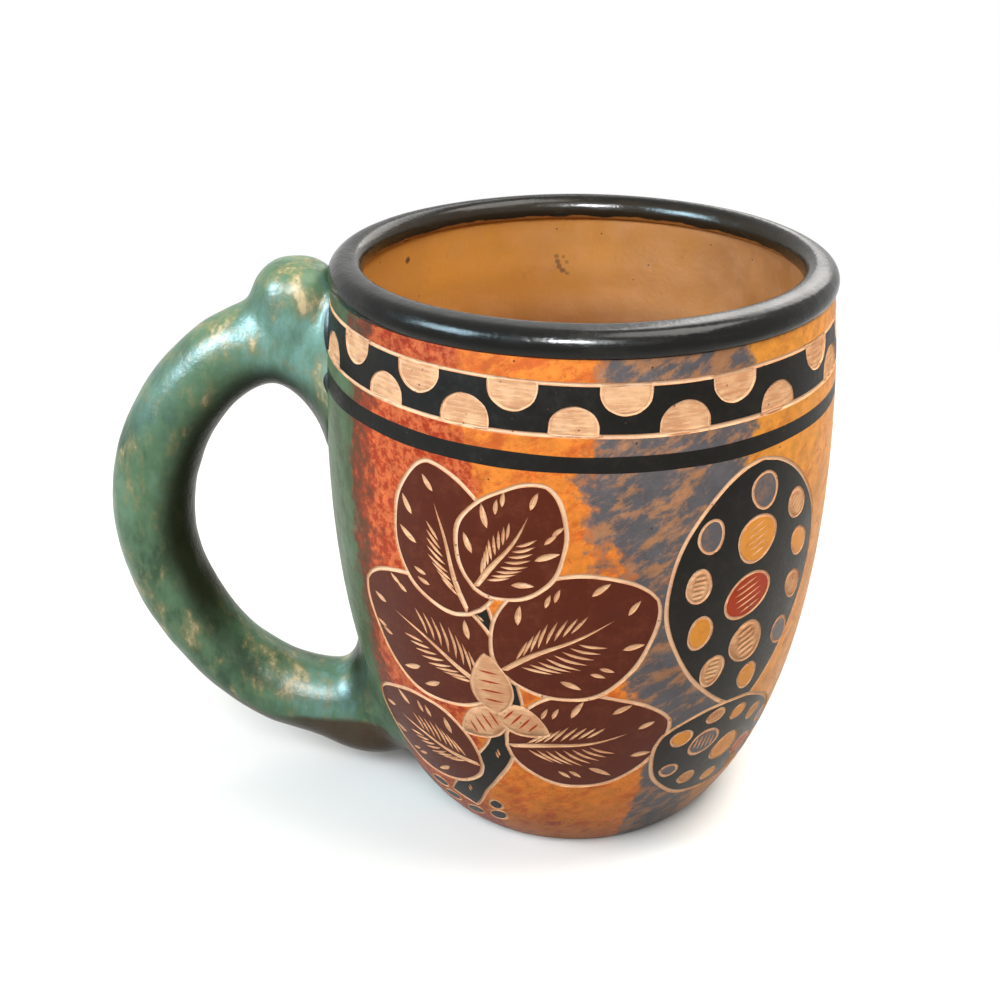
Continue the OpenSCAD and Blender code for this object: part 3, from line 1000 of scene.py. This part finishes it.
@lru_cache
def bare_clay():
    """Clay that a cut lays open: streaked by the tool, with painted shade on its slope, palest where deep.
    """
    m = Shader("bare_clay")
    cut = m.attribute("cut")
    streaks = m.grain(0.62 * MM, 4, (0.16, 1, 1), 11, m.attribute("place", "Vector"), 0.66)
    fine = m.grain(0.35 * MM, 3, shift=12, rough=0.65)
    dark = m.step(streaks * 0.6 + m.grain(3.5 * MM, 2, shift=13) * 0.5, 0.44, 0.64, 0, 0.8)
    colour = m.blend(dark, slip("bare"), slip("bare_dark"))
    # Painted shade: the clay is darker on the sloping sides of a cut, where it is shallow.
    colour = m.blend(m.step(cut, 0.0, 0.35, 0.3, 0.0), colour, slip("bare_dark"))
    colour = m.blend(m.step(cut, 0.72, 0.95, 0, 0.7), colour, slip("bare_deep"))
    pits = m.step(m.spots(1.5 * MM), 0.10, 0.16, 0.75, 0) * m.step(m.grain(4 * MM, 1, shift=14), 0.5, 0.56)
    return m.done(m.blend(pits, colour, PIT), m.step(fine, 0.2, 0.8, 0.78, 0.94),
                  m.bump(streaks + fine, 0.07 * MM), specular=0.15)


def green_coat(m):
    """Green slip of the handle and of the wall beside it: clouded, and pale where it is thick."""
    brush = m.grain(2.6 * MM, 4, (1, 1, 0.45), 16, rough=0.62)
    tone = brush * 0.45 + m.grain(10 * MM, 3, shift=15) * 0.55
    colour = m.blend(m.step(tone, 0.38, 0.52), slip("green_dark"), slip("green"))
    return m.blend(m.step(tone, 0.5, 0.68, 0, 0.75), colour, slip("green_light")), brush


# Where the green is worn through: the middle of the patch, its radius, and how much it shows
WORN_SPOTS = (((-62, -6, 88), 10, 0.1), ((-47, -8, 96), 7, 0.16), ((-45, -9, 81), 6, 0.07),
              ((-48, -2, 102), 8, 0.07), ((-85, -3, 60), 18, 0.05),
              ((-52, -7, 21), 10, 0.13), ((-74, -8, 30), 10, 0.05), ((-82, 4, 36), 14, 0.04),
              ((-50, 6, 97), 8, 0.08), ((-66, 6, 22), 16, 0.08))
# Painted highlights, pale teal where the window's reflection falls: the middle, the radius and how much it
# shows
SHEEN_SPOTS = (((-48, -8, 86), 14, 0.7), ((-50, 8, 87), 12, 0.6), ((-47, -8, 18), 9, 0.6),
               ((-76, -6, 78), 12, 0.25))
# Where the black bands lap on the joint: lowest and highest place, and how far out, all in mm
LAPS = ((BAND_LOW.z / MM - 1.6, BAND_HIGH.z / MM - 0.7, -42.7),
        (STRIPE_LOW.z / MM - 1.9, STRIPE_HIGH.z / MM - 0.9, -42.9))


@lru_cache
def worn_green():
    """The handle's green, worn through in places, with painted highlights of pale teal on the neck, the
    coil and the lower joint, painted shade on the inner side of the loop, a brown below that is partly soil
    and partly painted shade, and lapped by the ends of the two black bands."""
    m = Shader("handle_slip")
    colour, brush = green_coat(m)
    x, _, z = m.parts(m.spot)
    scuff = m.grain(0.9 * MM, 3, (1, 1, 0.5), 28) * 0.22 + m.grain(
        3.4 * MM, 5, (1, 1, 0.6), 18, rough=0.6) * 0.78
    for middle, radius, amount in WORN_SPOTS:
        scuff += m.step(m.off(middle), 0, radius * MM, amount, 0)
    # Painted highlights: pale teal patches, broken up by brush marks, stand in for the window's reflection
    # on the neck, the coil and the lower joint.
    stroked = m.step(m.grain(2.2 * MM, 5, (1, 0.7, 0.4), 31, rough=0.68), 0.34, 0.62, 0.45, 1)
    for middle, radius, amount in SHEEN_SPOTS:
        thick = m.step(brush * (18 * MM) + m.off(middle), (9 + 0.25 * radius) * MM,
                       (9 + radius) * MM, amount, 0)
        colour = m.blend(thick * stroked, colour, PAINTED_SHEEN)
    colour = m.blend(m.step(scuff, 0.5, 0.64, 0, 0.6), colour, SCUFFED)
    bare = m.step(scuff, 0.6, 0.74, 0, 0.85)
    colour = m.blend(bare, colour, slip("worn"))
    # Painted shade: the inner side of the loop, where it faces the finger gap and not upwards, is darkened
    # to a dark olive, and its coat is taken off there too.
    dark = m.step(m.attribute("inner"), 0.08, 0.72, 0, 0.95)
    colour = m.blend(dark, colour, PAINTED_SHADE)
    # Brown at the bottom of the lower joint and on the faces that look down there: partly soil, partly
    # painted shade.
    level = brush * (1.6 * MM) + z + m.step(x, -0.036, -0.028, 0, 0.007)
    soil_and_shade_mask = m.step(level, 12.6 * MM, 14 * MM, 0.9, 0) * m.step(x, -0.06, -0.049)
    under = m.step(m.attribute("under"), 0.35, 0.6) * m.step(z, 0.02, 0.03, 0.9, 0)
    colour = m.blend(m.math("MAXIMUM", soil_and_shade_mask, under), colour, SOIL_AND_SHADE)
    for low, high, reach in LAPS:
        middle, half = (low + high) / 2 * MM + 1.1 * MM, (high - low) / 2 * MM
        off = (brush * (2.2 * MM) + z - middle) * (1 / half)
        lap = m.step(x - off * off * (0.9 * MM), (reach - 0.1) * MM, (reach + 0.1) * MM)
        inside = m.step(m.math("ABSOLUTE", off), 0.94, 1.0, 1, 0)
        colour = m.blend(lap * inside, colour, slip("black"))
    normal = m.bump(m.grain(0.8 * MM, 3, shift=17, rough=0.65) + brush, 0.13 * MM)
    normal = m.bump(m.grain(5 * MM, 2, (1, 1, 0.5), 20), 0.25 * MM, normal)
    return m.done(colour, m.step(brush + bare, 0.4, 1.3, 0.3, 0.5), normal,
                  coat=dark * -0.22 + 0.22, coat_roughness=0.4)


@lru_cache
def rim_slip():
    """Glossy black, rubbed in streaks along the rim and thin at its inner edge."""
    m = Shader("rim_slip")
    x, y, z = m.parts(m.spot)
    turns = m.node("TexGradient", {"Vector": m.spot}, 1, gradient_type="RADIAL")
    ringed = m.node("CombineXYZ", {0: turns * 0.27, 1: z})
    streak = m.grain(1.1 * MM, 3, (0.12, 1, 1), 21, ringed, 0.6)
    cloud = m.grain(6 * MM, 3, shift=22)
    rubbed = m.step(streak * 0.5 + cloud * 0.5, 0.5, 0.75, 0, 0.5)
    radius = m.math("SQRT", x * x + y * y)
    thin = m.step(cloud * 0.002 + radius, MOUTH_R + 0.4 * MM, MOUTH_R + 1.6 * MM, 0.4, 0)
    colour = m.blend(thin, m.blend(rubbed, slip("rim"), RIM_RUBBED), RIM_THIN)
    low = m.step(cloud * (1.6 * MM) + z, WALL_TOP + 0.8 * MM, WALL_TOP + 1.1 * MM, 1, 0)
    bare = low * m.step(radius, MOUTH_R + 0.8 * MM, MOUTH_R + 1.2 * MM, 1, 0)
    normal = m.bump(streak * 1.5 + m.grain(0.6 * MM, 3, shift=23), 0.05 * MM)
    return m.done(m.blend(bare, colour, slip("inside_dark")), m.step(streak + cloud, 0.7, 1.3, 0.14, 0.3),
                  m.bump(cloud, 0.2 * MM, normal), coat=0.19, coat_roughness=0.15)


# Dark specks on the inside: where they are, their radius and how much they show
STAINS = (((-31.7, 21.9, 92.9), 0.75, 0.85), ((-4.9, 38.8, 89.2), 0.6, 0.5),
          ((-4.7, 38.8, 88.2), 0.6, 0.6), ((-4.3, 38.8, 87.2), 0.65, 0.6),
          ((-3.6, 38.9, 86.3), 0.65, 0.65), ((-2.8, 38.9, 85.6), 0.6, 0.6),
          ((-3.6, 38.9, 89.1), 0.45, 0.45), ((-2.9, 38.9, 88.0), 0.45, 0.4),
          ((14, 36, 84), 0.5, 0.4), ((-16, 35.6, 80), 0.5, 0.4))


@lru_cache
def inside_clay():
    """Bare terracotta with painted shade to the right and a painted shadow of the rim lower down, with
    throwing rings and stains.
    """
    m = Shader("inside_clay")
    x, _, z = m.parts(m.spot)
    blotch = m.grain(5 * MM, 4, shift=25, rough=0.62)
    # Painted shade: the right side is darker, with random darker clouds. Lower down, the wall is darker all
    # round as a painted shadow of the rim.
    side = m.step(x, -0.02, 0.03, 0, 0.55) + m.step(
        m.grain(22 * MM, 4, shift=24, rough=0.6), 0.35, 0.65, 0, 0.25)
    side = m.math("MAXIMUM", side, m.step(z, 0.073, 0.089, 0.95, 0))
    colour = m.blend(side, slip("inside"), slip("inside_dark"))
    colour = m.blend(m.step(blotch, 0.45, 0.75, 0, 0.22), colour, CLAY_LIGHT)
    rusty = m.step(m.grain(3 * MM, 5, (1, 1, 0.6), 27, rough=0.7), 0.6, 0.75, 0, 0.35)
    colour = m.blend(rusty, colour, CLAY_RUST)
    frayed = m.grain(1.3 * MM, 4, (1, 1, 0.6), 30, rough=0.7) - 0.5
    for place, radius, amount in STAINS:
        off = frayed * (1.8 * radius * MM) + m.off(place)
        colour = m.blend(m.step(off, 0.4 * radius * MM, 1.2 * radius * MM, amount, 0), colour, STAIN)
    rings = m.node("TexWave", {"Vector": m.spot, "Scale": 38.0, "Distortion": 1.2, "Detail": 2.0}, 1,
                   bands_direction="Z")
    normal = m.bump(m.grain(0.9 * MM, 3, shift=26) + blotch, 0.08 * MM)
    return m.done(wet(m, colour), m.step(blotch, 0.3, 0.7, 0.5, 0.7),
                  m.bump(rings, 0.06 * MM, normal), specular=0.25)


# Operators, one for each piece or group of like pieces

BARE_PAINTS = ("bare", "bare_oval")
BAND_NODES = {"stripe": "plain_stripe", "dotted_slip": "dotted_band"}
# How many points go round the cup, and round the section of the rim roll
INSIDE_SIDES, FOOT_SIDES, RIM_SIDES, ROLL_SIDES = 144, 120, 240, 30


def panel_pieces(name, chosen, material, cut=False):
    """The chosen faces of the skin, as one piece for each panel of the wall."""
    width = (U_HIGH - U_LOW) / PANELS
    panel = np.clip((skin()["centres"][:, 0] - U_LOW) // width, 0, PANELS - 1)
    for k in range(PANELS):
        skin_piece(f"{name}_{k + 1}", chosen & (panel == k), material, cut=cut)


def painted_pieces(bands):
    """Name, paint and faces of each painted piece of the skin, of the bands or of the rest."""
    top, motifs = skin()["top"], skin()["motifs"]
    owner = np.array([""] + [f"{motif.piece} {motif.paint}" for motif in motifs])
    for name, paint_name in dict.fromkeys((motif.piece, motif.paint) for motif in motifs):
        if paint_name not in BARE_PAINTS and (name in BAND_NODES) == bands:
            yield name, paint_name, (owner[top] == f"{name} {paint_name}") & ~skin()["carved"]


class MUG_OT_ground(bpy.types.Operator):
    """Lay the mottled ground slips on the outside of the wall"""
    bl_idname = "mug.ground"
    bl_label = "Ground slips"

    def execute(self, context):
        panel_pieces("ground", (skin()["top"] == 0) & ~skin()["carved"], ground_slip())
        return {"FINISHED"}


class MUG_OT_carving(bpy.types.Operator):
    """Cut the outlines, veins, nicks and dots through the slips to the bare clay"""
    bl_idname = "mug.carving"
    bl_label = "Carving"

    def execute(self, context):
        bare = np.array([False] + [motif.paint in BARE_PAINTS for motif in skin()["motifs"]])
        panel_pieces("carving", skin()["carved"] | bare[skin()["top"]], bare_clay(), cut=True)
        return {"FINISHED"}


class MUG_OT_motifs(bpy.types.Operator):
    """Paint the leaves, the pods with their insets, and the stems"""
    bl_idname = "mug.motifs"
    bl_label = "Leaves, pods and stems"

    def execute(self, context):
        slips = {"maroon": burnished("leaf_slip", "maroon", "maroon_light"),
                 "black": burnished("pod_slip", "black", "black_worn", 0.34, 0.35),
                 "ochre": burnished("inset_ochre", "ochre", "ochre_dark"),
                 "slate": burnished("inset_slate", "slate", "slate_warm"),
                 "rust": burnished("inset_rust", "red", "maroon_light")}
        for name, paint_name, chosen in painted_pieces(bands=False):
            skin_piece(name, chosen, slips[paint_name])
        return {"FINISHED"}


class MUG_OT_bands(bpy.types.Operator):
    """Paint the dotted band and the plain stripe"""
    bl_idname = "mug.bands"
    bl_label = "Bands"

    def execute(self, context):
        black = burnished("band_slip", "black", "black_worn", 0.38, 0.3)
        for name, _, chosen in painted_pieces(bands=True):
            skin_piece(name, chosen, black, BAND_NODES[name])
        return {"FINISHED"}


# The foot's underside from its middle out: shares of its radius, and heights in millimetres
FOOT_LINE = ((0, 0.25), (0.5, 0.25), (0.86, 0.2), (0.95, 0.05), (1, 0))
# Radius at which the floor and the foot start, because a row of points can't shrink to nothing
CENTRE_R = 0.4 * MM


def cavity():
    """Outline of the inside, from the middle of the floor up to the mouth."""
    own = wall()
    thick = mix(FLOOR_T, WALL_T, np.sqrt(np.minimum(1, own["z"] / BELLY_Z)))
    line = np.stack([own["r"] - own["nr"] * thick, own["z"] - own["nz"] * thick], 1)
    line = line[(line[:, 1] > FLOOR_T) & (line[:, 1] < WALL_TOP)]
    corner = (line[0, 0], FLOOR_T)
    return evenly(np.vstack([[(CENTRE_R, FLOOR_T), corner], line, [(MOUTH_R, WALL_TOP)]]), 1.6 * MM)


def turned(outline, around, swing=None):
    """Rows of points, one for each point of an outline, that go round the cup."""
    angles = np.linspace(-math.pi / 2, 1.5 * math.pi, around, endpoint=False)
    rows = []
    for k, (r, z) in enumerate(outline):
        shift = swing(k, angles) if swing else np.zeros((around, 2))
        radius = r + shift[:, 0]
        rows.append(np.stack([radius * np.sin(angles), -radius * np.cos(angles), z + shift[:, 1]], 1))
    return rows


class MUG_OT_inside(bpy.types.Operator):
    """Turn the bare terracotta inside, with faint rings from throwing, and the foot"""
    bl_idname = "mug.inside"
    bl_label = "Inside and foot"

    def execute(self, context):
        line = cavity()

        def rings(k, angles):
            wave = math.sin(line[k, 1] / (2.1 * MM)) * 0.05 * MM if line[k, 0] > FOOT_R * 0.6 else 0
            uneven = 0.06 * MM * np.sin(3 * angles + line[k, 1] / (9 * MM))
            return np.stack([wave + uneven, np.zeros(len(angles))], 1)

        rows = turned(line, INSIDE_SIDES, rings)[::-1]
        grid_piece("inside", rows, inside_clay(), "cup_body")
        foot = [(max(CENTRE_R, share * FOOT_R), height * MM) for share, height in FOOT_LINE]
        rows = turned(evenly(np.array(foot), 1.5 * MM), FOOT_SIDES)
        grid_piece("foot", rows, inside_clay(), "cup_body")
        return {"FINISHED"}


class MUG_OT_rim(bpy.types.Operator):
    """Roll the rim, a little unevenly"""
    bl_idname = "mug.rim"
    bl_label = "Rim roll"

    def execute(self, context):
        own = sizes()
        roll = node_points("rim_roll")
        radii = np.hypot(roll[:, 0], roll[:, 1])
        half_w = (radii.max() - radii.min()) / 2
        middle = ((radii.max() + radii.min()) / 2, roll[radii.argmax(), 2])
        half_h = ROLL_HIGH.z - middle[1]
        angles = np.linspace(0, 2 * math.pi, ROLL_SIDES, endpoint=False)
        oval_line = [(middle[0] + math.cos(a) * half_w,
                      max(WALL_TOP, middle[1] + math.sin(a) * half_h)) for a in angles]

        def swing(k, around):
            wave = (np.sin(2 * around + 1) + np.sin(5 * around) * 0.6 + np.sin(9 * around) * 0.3) / 1.9
            swell = 0.5 * (1 + np.sin(3 * around + 2) * 0.6 + np.sin(7 * around + 1) * 0.4)
            thin = -own.roll_wave * 0.5 * swell
            out = thin * math.cos(angles[k]) + own.roll_wave * 0.5 * (wave - 1)
            up = thin * max(0, math.sin(angles[k])) - own.rim_dip * (1 - np.cos(around - 0.35)) / 2
            front = ((1 + np.cos(around)) / 2) ** 1.5
            inward, above = max(0, -math.cos(angles[k])), max(0, math.sin(angles[k]))
            out = out - own.roll_lean * math.sqrt(inward) * front
            shoulder = min(0.8 * (inward * above) ** 2, 1 - above) * half_h
            return np.stack([out, up + shoulder * front], 1)

        grid_piece("rim", turned(oval_line, RIM_SIDES, swing), rim_slip(), "rim_roll",
                   closed=True)
        return {"FINISHED"}


# The handle. Its middle line is two cubics in the XZ plane, level at both joints.

# Heights of the two joints, and how far from the wall the coil itself ends at each of them
UPPER_Z, LOWER_Z = 85 * MM, 12.6 * MM
UPPER_COLLAR, LOWER_COLLAR = 9 * MM, 10 * MM
# Height of the widest place as a share of the way up, and how far the cubics' handles reach
MID_SHARE, UPPER_REACH, LOWER_REACH = 0.5235, (0.44, 0.528), (0.446, 0.565)
# How many points go round the coil and round each lump of clay
SIDES = 28
# Grain in which the lumps are joined, and the share and rounds of smoothing after it
VOXEL, SMOOTHING = 0.62 * MM, (0.5, 16)
# Middle of the finger gap, which the inner side of the loop faces; that side gets painted shade
LOOP_X, LOOP_Z = -55 * MM, 50 * MM


def coil_line(t):
    """The coil's middle as (distance out, height), for t from 0 at the top to 1."""
    reach = -COIL_LOW.x - sizes().coil_t / 2
    start, end = wall_r(UPPER_Z) + UPPER_COLLAR, wall_r(LOWER_Z) + LOWER_COLLAR
    mid = mix(LOWER_Z, UPPER_Z, MID_SHARE)
    if t < 0.5:
        return bezier((start, UPPER_Z), (mix(start, reach, UPPER_REACH[0]), UPPER_Z),
                      (reach, mix(mid, UPPER_Z, UPPER_REACH[1])), (reach, mid), 2 * t)
    return bezier((reach, mid), (reach, mix(mid, LOWER_Z, LOWER_REACH[0])),
                  (mix(end, reach, LOWER_REACH[1]), LOWER_Z), (end, LOWER_Z), 2 * t - 1)


# How the thickness of the hand-rolled coil wanders: the place along it, and the share of it
COIL_SWELL = ((0, 0.2, 0.38, 0.52, 0.75, 0.92, 1), (0, -0.02, 0.035, -0.01, -0.065, -0.04, 0))


def coil_ring(t, grow=0.0):
    """Points round the coil at t; angle 90 is on the outer side of the loop."""
    own = sizes()
    here = coil_line(t)
    way = coil_line(min(1, t + 0.002)) - coil_line(max(0, t - 0.002))
    way /= np.linalg.norm(way)
    swell = 1 + 0.06 * abs(2 * t - 1) ** 4 + np.interp(t, *COIL_SWELL)
    a = np.radians(np.arange(SIDES) * 360 / SIDES)
    out = np.sin(a) * (swell * own.coil_t / 2 + grow)
    across = np.cos(a) * (swell * own.coil_w / 2 + grow)
    return np.stack([-(here[0] - way[1] * out), across, here[1] + way[0] * out], 1)


def against(y, z, sunk):
    """The point of the wall behind (y, z), or a little inside it."""
    r = wall_r(max(z, 0)) - sunk
    return np.array([-math.sqrt(max(r * r - y * y, 0)), y, z])


def joint_ring(t, level, spread, share, sunk=0.0):
    """Points round a joint: share 0 is on the coil's end, and 1 is where the clay feathers out."""
    side, outer, inner = spread
    rings = []
    for k, p in enumerate(coil_ring(t)):
        v = np.array([p[1], p[2] - level])
        n = v / np.linalg.norm(v)
        outward = math.sin(math.radians(k * 360 / SIDES))
        far = mix(side, outer if outward > 0 else inner, abs(outward) ** 1.5) * MM
        foot = [against(p[1] + n[0] * f, p[2] + n[1] * f, sunk) for f in (0, far)]
        soft = mix(0.12, 0.26, max(0, -outward))
        corner = foot[0] + (p - foot[0]) * soft + (foot[1] - foot[0]) * soft
        rings.append(p * (1 - share) ** 2 + corner * 2 * share * (1 - share) + foot[1] * share ** 2)
    return np.array(rings)


def lofted(rings):
    """Points and faces of a closed skin through rings, with both ends filled."""
    count = len(rings[0])
    points = [rings[0].mean(0)] + [p for ring in rings for p in ring] + [rings[-1].mean(0)]
    faces = []
    for j in range(count):
        k = (j + 1) % count
        faces.append((0, 1 + k, 1 + j))
        faces.append((len(points) - 1, len(points) - 1 - count + j, len(points) - 1 - count + k))
        for i in range(len(rings) - 1):
            a, b = 1 + i * count, 1 + (i + 1) * count
            faces.append((a + j, a + k, b + k, b + j))
    return points, faces


def lump(middle, radii, square):
    """A rounded block of clay, as rings from its foot to its crown, from sizes in millimetres."""
    middle, radii = np.array(middle) * MM, np.array(radii) * MM
    a = np.linspace(0, 2 * math.pi, SIDES, endpoint=False)
    rings = []
    for e in np.linspace(-0.49, 0.49, 17) * math.pi:
        wide, high = math.cos(e) ** square, math.copysign(abs(math.sin(e)) ** square, e)
        rings.append(np.stack([middle[0] + radii[0] * wide * np.cos(a),
                               middle[1] + radii[1] * wide * np.sin(a),
                               np.full(SIDES, middle[2] + radii[2] * high)], 1))
    return rings


# The two joints: which end of the coil, where along it the clay starts, the height, and how far
# it spreads on the wall to the sides, away from the finger gap and towards it
JOINTS = ((0, 0.03, UPPER_Z, (1.5, 4.2, 12.6)), (1, 0.97, LOWER_Z, (5, 3, 11.5)))
# The thumb rest and the web under the lower joint: the middle, the radii and how round they are
LUMPS = (((-48.7, 0, REST_HIGH.z / MM - 8.85), (8.1, REST_HIGH.y / MM - 0.2, 9), 0.72),
         ((-38.2, -1.5, 8.2), (10.5, 7.2, 5.6), 1.0))


def handle_blank():
    """The coil, its two joints and its lumps, as separate closed skins in one mesh."""
    groups = [[coil_ring(t, 0.1 * MM) for t in np.linspace(0, 1, 60)]]
    for t, start, level, spread in JOINTS:
        rings = [joint_ring(t, level, spread, share) for share in np.linspace(0, 1, 7)]
        sunk = joint_ring(t, level, spread, 1, sizes().seat_in)
        groups.append([coil_ring(start), *rings, sunk])
    groups += [lump(*measures) for measures in LUMPS]
    points, faces = [], []
    for rings in groups:
        made, own_faces = lofted(rings)
        faces += [tuple(len(points) + k for k in face) for face in own_faces]
        points += [tuple(p) for p in made]
    return points, faces


# Where a finger has smoothed the clay further: the middle of the place, its radius and how much
SOFTENED = (((-58, 0, 93), 10, 0.35), ((-46, -2, 7), 12, 0.6))


def softened(points, edges, rounds=60):
    """Points drawn towards their neighbours near those places, which fills the creases there."""
    share = np.zeros(len(points))
    for middle, radius, amount in SOFTENED:
        far = np.linalg.norm(points - np.array(middle) * MM, axis=1) / (radius * MM)
        share = np.maximum(share, amount * smooth(2 - 2 * far))
    one, other = np.concatenate([edges, edges[:, ::-1]]).T
    count = np.bincount(one, minlength=len(points))
    for _ in range(rounds):
        mean = np.stack([np.bincount(one, points[other, k], len(points)) for k in range(3)], 1)
        points = mix(points, mean / count[:, None], share[:, None])
    return points


class MUG_OT_handle(bpy.types.Operator):
    """Work the coil, its joints and the thumb rest into one smooth handle"""
    bl_idname = "mug.handle"
    bl_label = "Handle"

    def execute(self, context):
        points, faces = handle_blank()
        mesh = bpy.data.meshes.new("handle_blank")
        mesh.from_pydata(points, [], faces)
        blank = linked("handle_blank", mesh)
        remesh = blank.modifiers.new("Union", "REMESH")
        remesh.mode = "VOXEL"
        remesh.voxel_size = VOXEL
        soft = blank.modifiers.new("Blend", "SMOOTH")
        soft.factor, soft.iterations = SMOOTHING
        done = bpy.data.meshes.new_from_object(
            blank.evaluated_get(context.evaluated_depsgraph_get()))
        bpy.data.objects.remove(blank)
        edges = np.array([tuple(edge.vertices) for edge in done.edges])
        points = softened(point_values(done), edges)
        done.vertices.foreach_set("co", points.ravel())
        done.update()
        normals = point_values(done, "normal")
        rise = [0.75 * noise.noise(Vector(p) / (12 * MM)) + 0.25 * noise.noise(Vector(p) / (4 * MM))
                for p in points]
        points += normals * (np.array(rise) * sizes().lump)[:, None]
        points[:, 0] = np.maximum(points[:, 0], COIL_LOW.x)
        faces = [tuple(face.vertices) for face in done.polygons]
        bpy.data.meshes.remove(done)
        mesh = new_piece("handle", points, faces, worn_green(),
                         ["handle_coil", "thumb_rest", "upper_joint", "lower_joint"])
        # For the painted shade on the handle: how much each point faces the finger gap and not upwards,
        # kept as 'inner', and how much it faces down, kept as 'under'.
        inward = np.array((LOOP_X, 0, LOOP_Z)) - points
        inward[:, 1] = 0
        inward /= np.linalg.norm(inward, axis=1)[:, None]
        shaded = (inward * normals).sum(1) * smooth(1.35 - 1.6 * normals[:, 2])
        store(mesh, "inner", "FLOAT", shaded)
        store(mesh, "under", "FLOAT", -normals[:, 2])
        return {"FINISHED"}


# The camera stands where the photograph was taken from

# Focal length as a share of the picture's width
LENS_F = 1573 / 1000
# Distance from the point that it aims at, and the angles in degrees above the table and of roll
CAMERA_FAR, CAMERA_UP, CAMERA_ROLL = 287.22 * MM, 26.95, -1.47
AIM = (0, 0, 45 * MM)
# Where that point lands, off the picture's middle, as shares of its width
AIM_SHIFT = (75.99 / 1000, 50.31 / 1000)


def camera_matrix():
    """Looks at the aim point from the front, then turns so that it lands where it should."""
    up = math.radians(CAMERA_UP)
    back, right = Vector((0, -math.cos(up), math.sin(up))), Vector((1, 0, 0))
    yaw = math.atan2(AIM_SHIFT[0], LENS_F)
    pitch = math.atan2(AIM_SHIFT[1], math.hypot(LENS_F, AIM_SHIFT[0]))
    axes = (Matrix.Rotation(math.radians(CAMERA_ROLL), 3, "Z") @ Matrix.Rotation(pitch, 3, "X")
            @ Matrix.Rotation(yaw, 3, "Y") @ Matrix((right, right.cross(-back), -back)))
    placed_at = Matrix((axes[0], axes[1], -axes[2])).transposed().to_4x4()
    placed_at.translation = Vector(AIM) + back * CAMERA_FAR
    return placed_at


# The lamps all face the middle of the mug. For each, its size, its place and its tint, and
# whether it shows only in the gloss.
MIDDLE = Vector((0, 0, 0.06))
LAMPS = {"window": (0.34, (-0.55, -0.30, 0.45), (0.76, 0.90, 1.0), False),
         "sheen": (0.22, (-0.55, -0.30, 0.45), (0.52, 0.84, 1.0), True),
         "glint": (0.15, (-0.05, -0.56, 0.55), (0.92, 0.96, 1.0), True),
         "fill": (0.34, (-0.02, -0.56, 0.55), (0.97, 0.98, 1.0), False),
         "back": (0.4, (0.22, 0.55, 0.45), (1.0, 0.97, 0.93), False),
         "top": (0.4, (0.26, -0.02, 0.70), (1.0, 0.96, 0.90), False)}
# Half the width of the floor, and how far from the mug it starts and ends to fade to white
FLOOR_HALF, FADE = 3.0, (0.10, 0.30)


class MUG_OT_stage(bpy.types.Operator):
    """Set up the camera, the soft light and the plain floor"""
    bl_idname = "mug.stage"
    bl_label = "Stage"

    def execute(self, context):
        own = context.scene.mug_stage
        data = bpy.data.cameras.new("camera")
        data.lens = data.sensor_width * LENS_F
        data.clip_start, data.clip_end = 0.01, 20
        camera = linked("camera", data)
        camera.matrix_world = camera_matrix()
        context.scene.camera = camera
        for name, (size, at, tint, gloss_only) in LAMPS.items():
            data = bpy.data.lights.new(name, "AREA")
            data.energy, data.size, data.color = getattr(own, name + "_power"), size, tint
            lamp = linked(name, data)
            lamp.location = at
            lamp.rotation_mode = "QUATERNION"
            lamp.rotation_quaternion = (MIDDLE - Vector(at)).to_track_quat("-Z", "Y")
            lamp.visible_diffuse = not gloss_only
        self.floor(tuple(own.floor), own.bounce)
        self.world(own.sky)
        context.scene.view_settings.view_transform = "Standard"
        return {"FINISHED"}

    def floor(self, colour, bounce):
        """A plain floor that fades to white, and throws back only a share of its light."""
        mesh = bpy.data.meshes.new("floor")
        corners = [(x * FLOOR_HALF, y * FLOOR_HALF, 0) for x, y in ((-1, -1), (1, -1), (1, 1), (-1, 1))]
        mesh.from_pydata(corners, [], [(0, 1, 2, 3)])
        m = Shader("floor")
        seen = m.seen()
        plain = m.node("BsdfDiffuse", {"Color": m.blend(seen, [c * bounce for c in colour], colour)})
        white = m.node("Emission", {"Color": (1, 1, 1), "Strength": 1.0})
        share = seen * m.step(m.off((0, 0, 0)), *FADE)
        m.node("OutputMaterial", {"Surface": m.node("MixShader", {0: share, 1: plain, 2: white})})
        mesh.materials.append(m.block)
        linked("floor", mesh)

    def world(self, strength):
        """White where it is seen, and an even light of less strength for all else."""
        m = Shader("studio", "worlds")
        bpy.context.scene.world = m.block
        light = m.node("Background", {"Color": (1, 1, 1), "Strength": m.seen() * (1 - strength) + strength})
        m.node("OutputWorld", {"Surface": light})


class MUG_PT_panel(bpy.types.Panel):
    """Sizes, paints and steps of the mug"""
    bl_idname = "MUG_PT_panel"
    bl_label = "Carved slip mug"
    bl_space_type = "VIEW_3D"
    bl_region_type = "UI"
    bl_category = "Mug"

    def draw(self, context):
        scene = context.scene
        for group in (scene.mug_sizes, scene.mug_paints, scene.mug_stage):
            column = self.layout.column(align=True)
            for key in group.__annotations__:
                column.prop(group, key)
        for operator in STEPS:
            self.layout.operator(operator.bl_idname)


STEPS = (MUG_OT_stage, MUG_OT_ground, MUG_OT_motifs, MUG_OT_bands, MUG_OT_carving, MUG_OT_inside,
         MUG_OT_rim, MUG_OT_handle)
GROUPS = {"mug_sizes": MugSizes, "mug_paints": MugPaints, "mug_stage": MugStage}


def register():
    for made in (*GROUPS.values(), *STEPS, MUG_PT_panel):
        bpy.utils.register_class(made)
    for name, group in GROUPS.items():
        setattr(bpy.types.Scene, name, PointerProperty(type=group))


def unregister():
    for name in GROUPS:
        delattr(bpy.types.Scene, name)
    for made in (MUG_PT_panel, *reversed(STEPS), *reversed(GROUPS.values())):
        bpy.utils.unregister_class(made)


def main():
    register()
    for step in STEPS:
        getattr(bpy.ops.mug, step.bl_idname.removeprefix("mug."))()


if __name__ == "__main__":
    main()
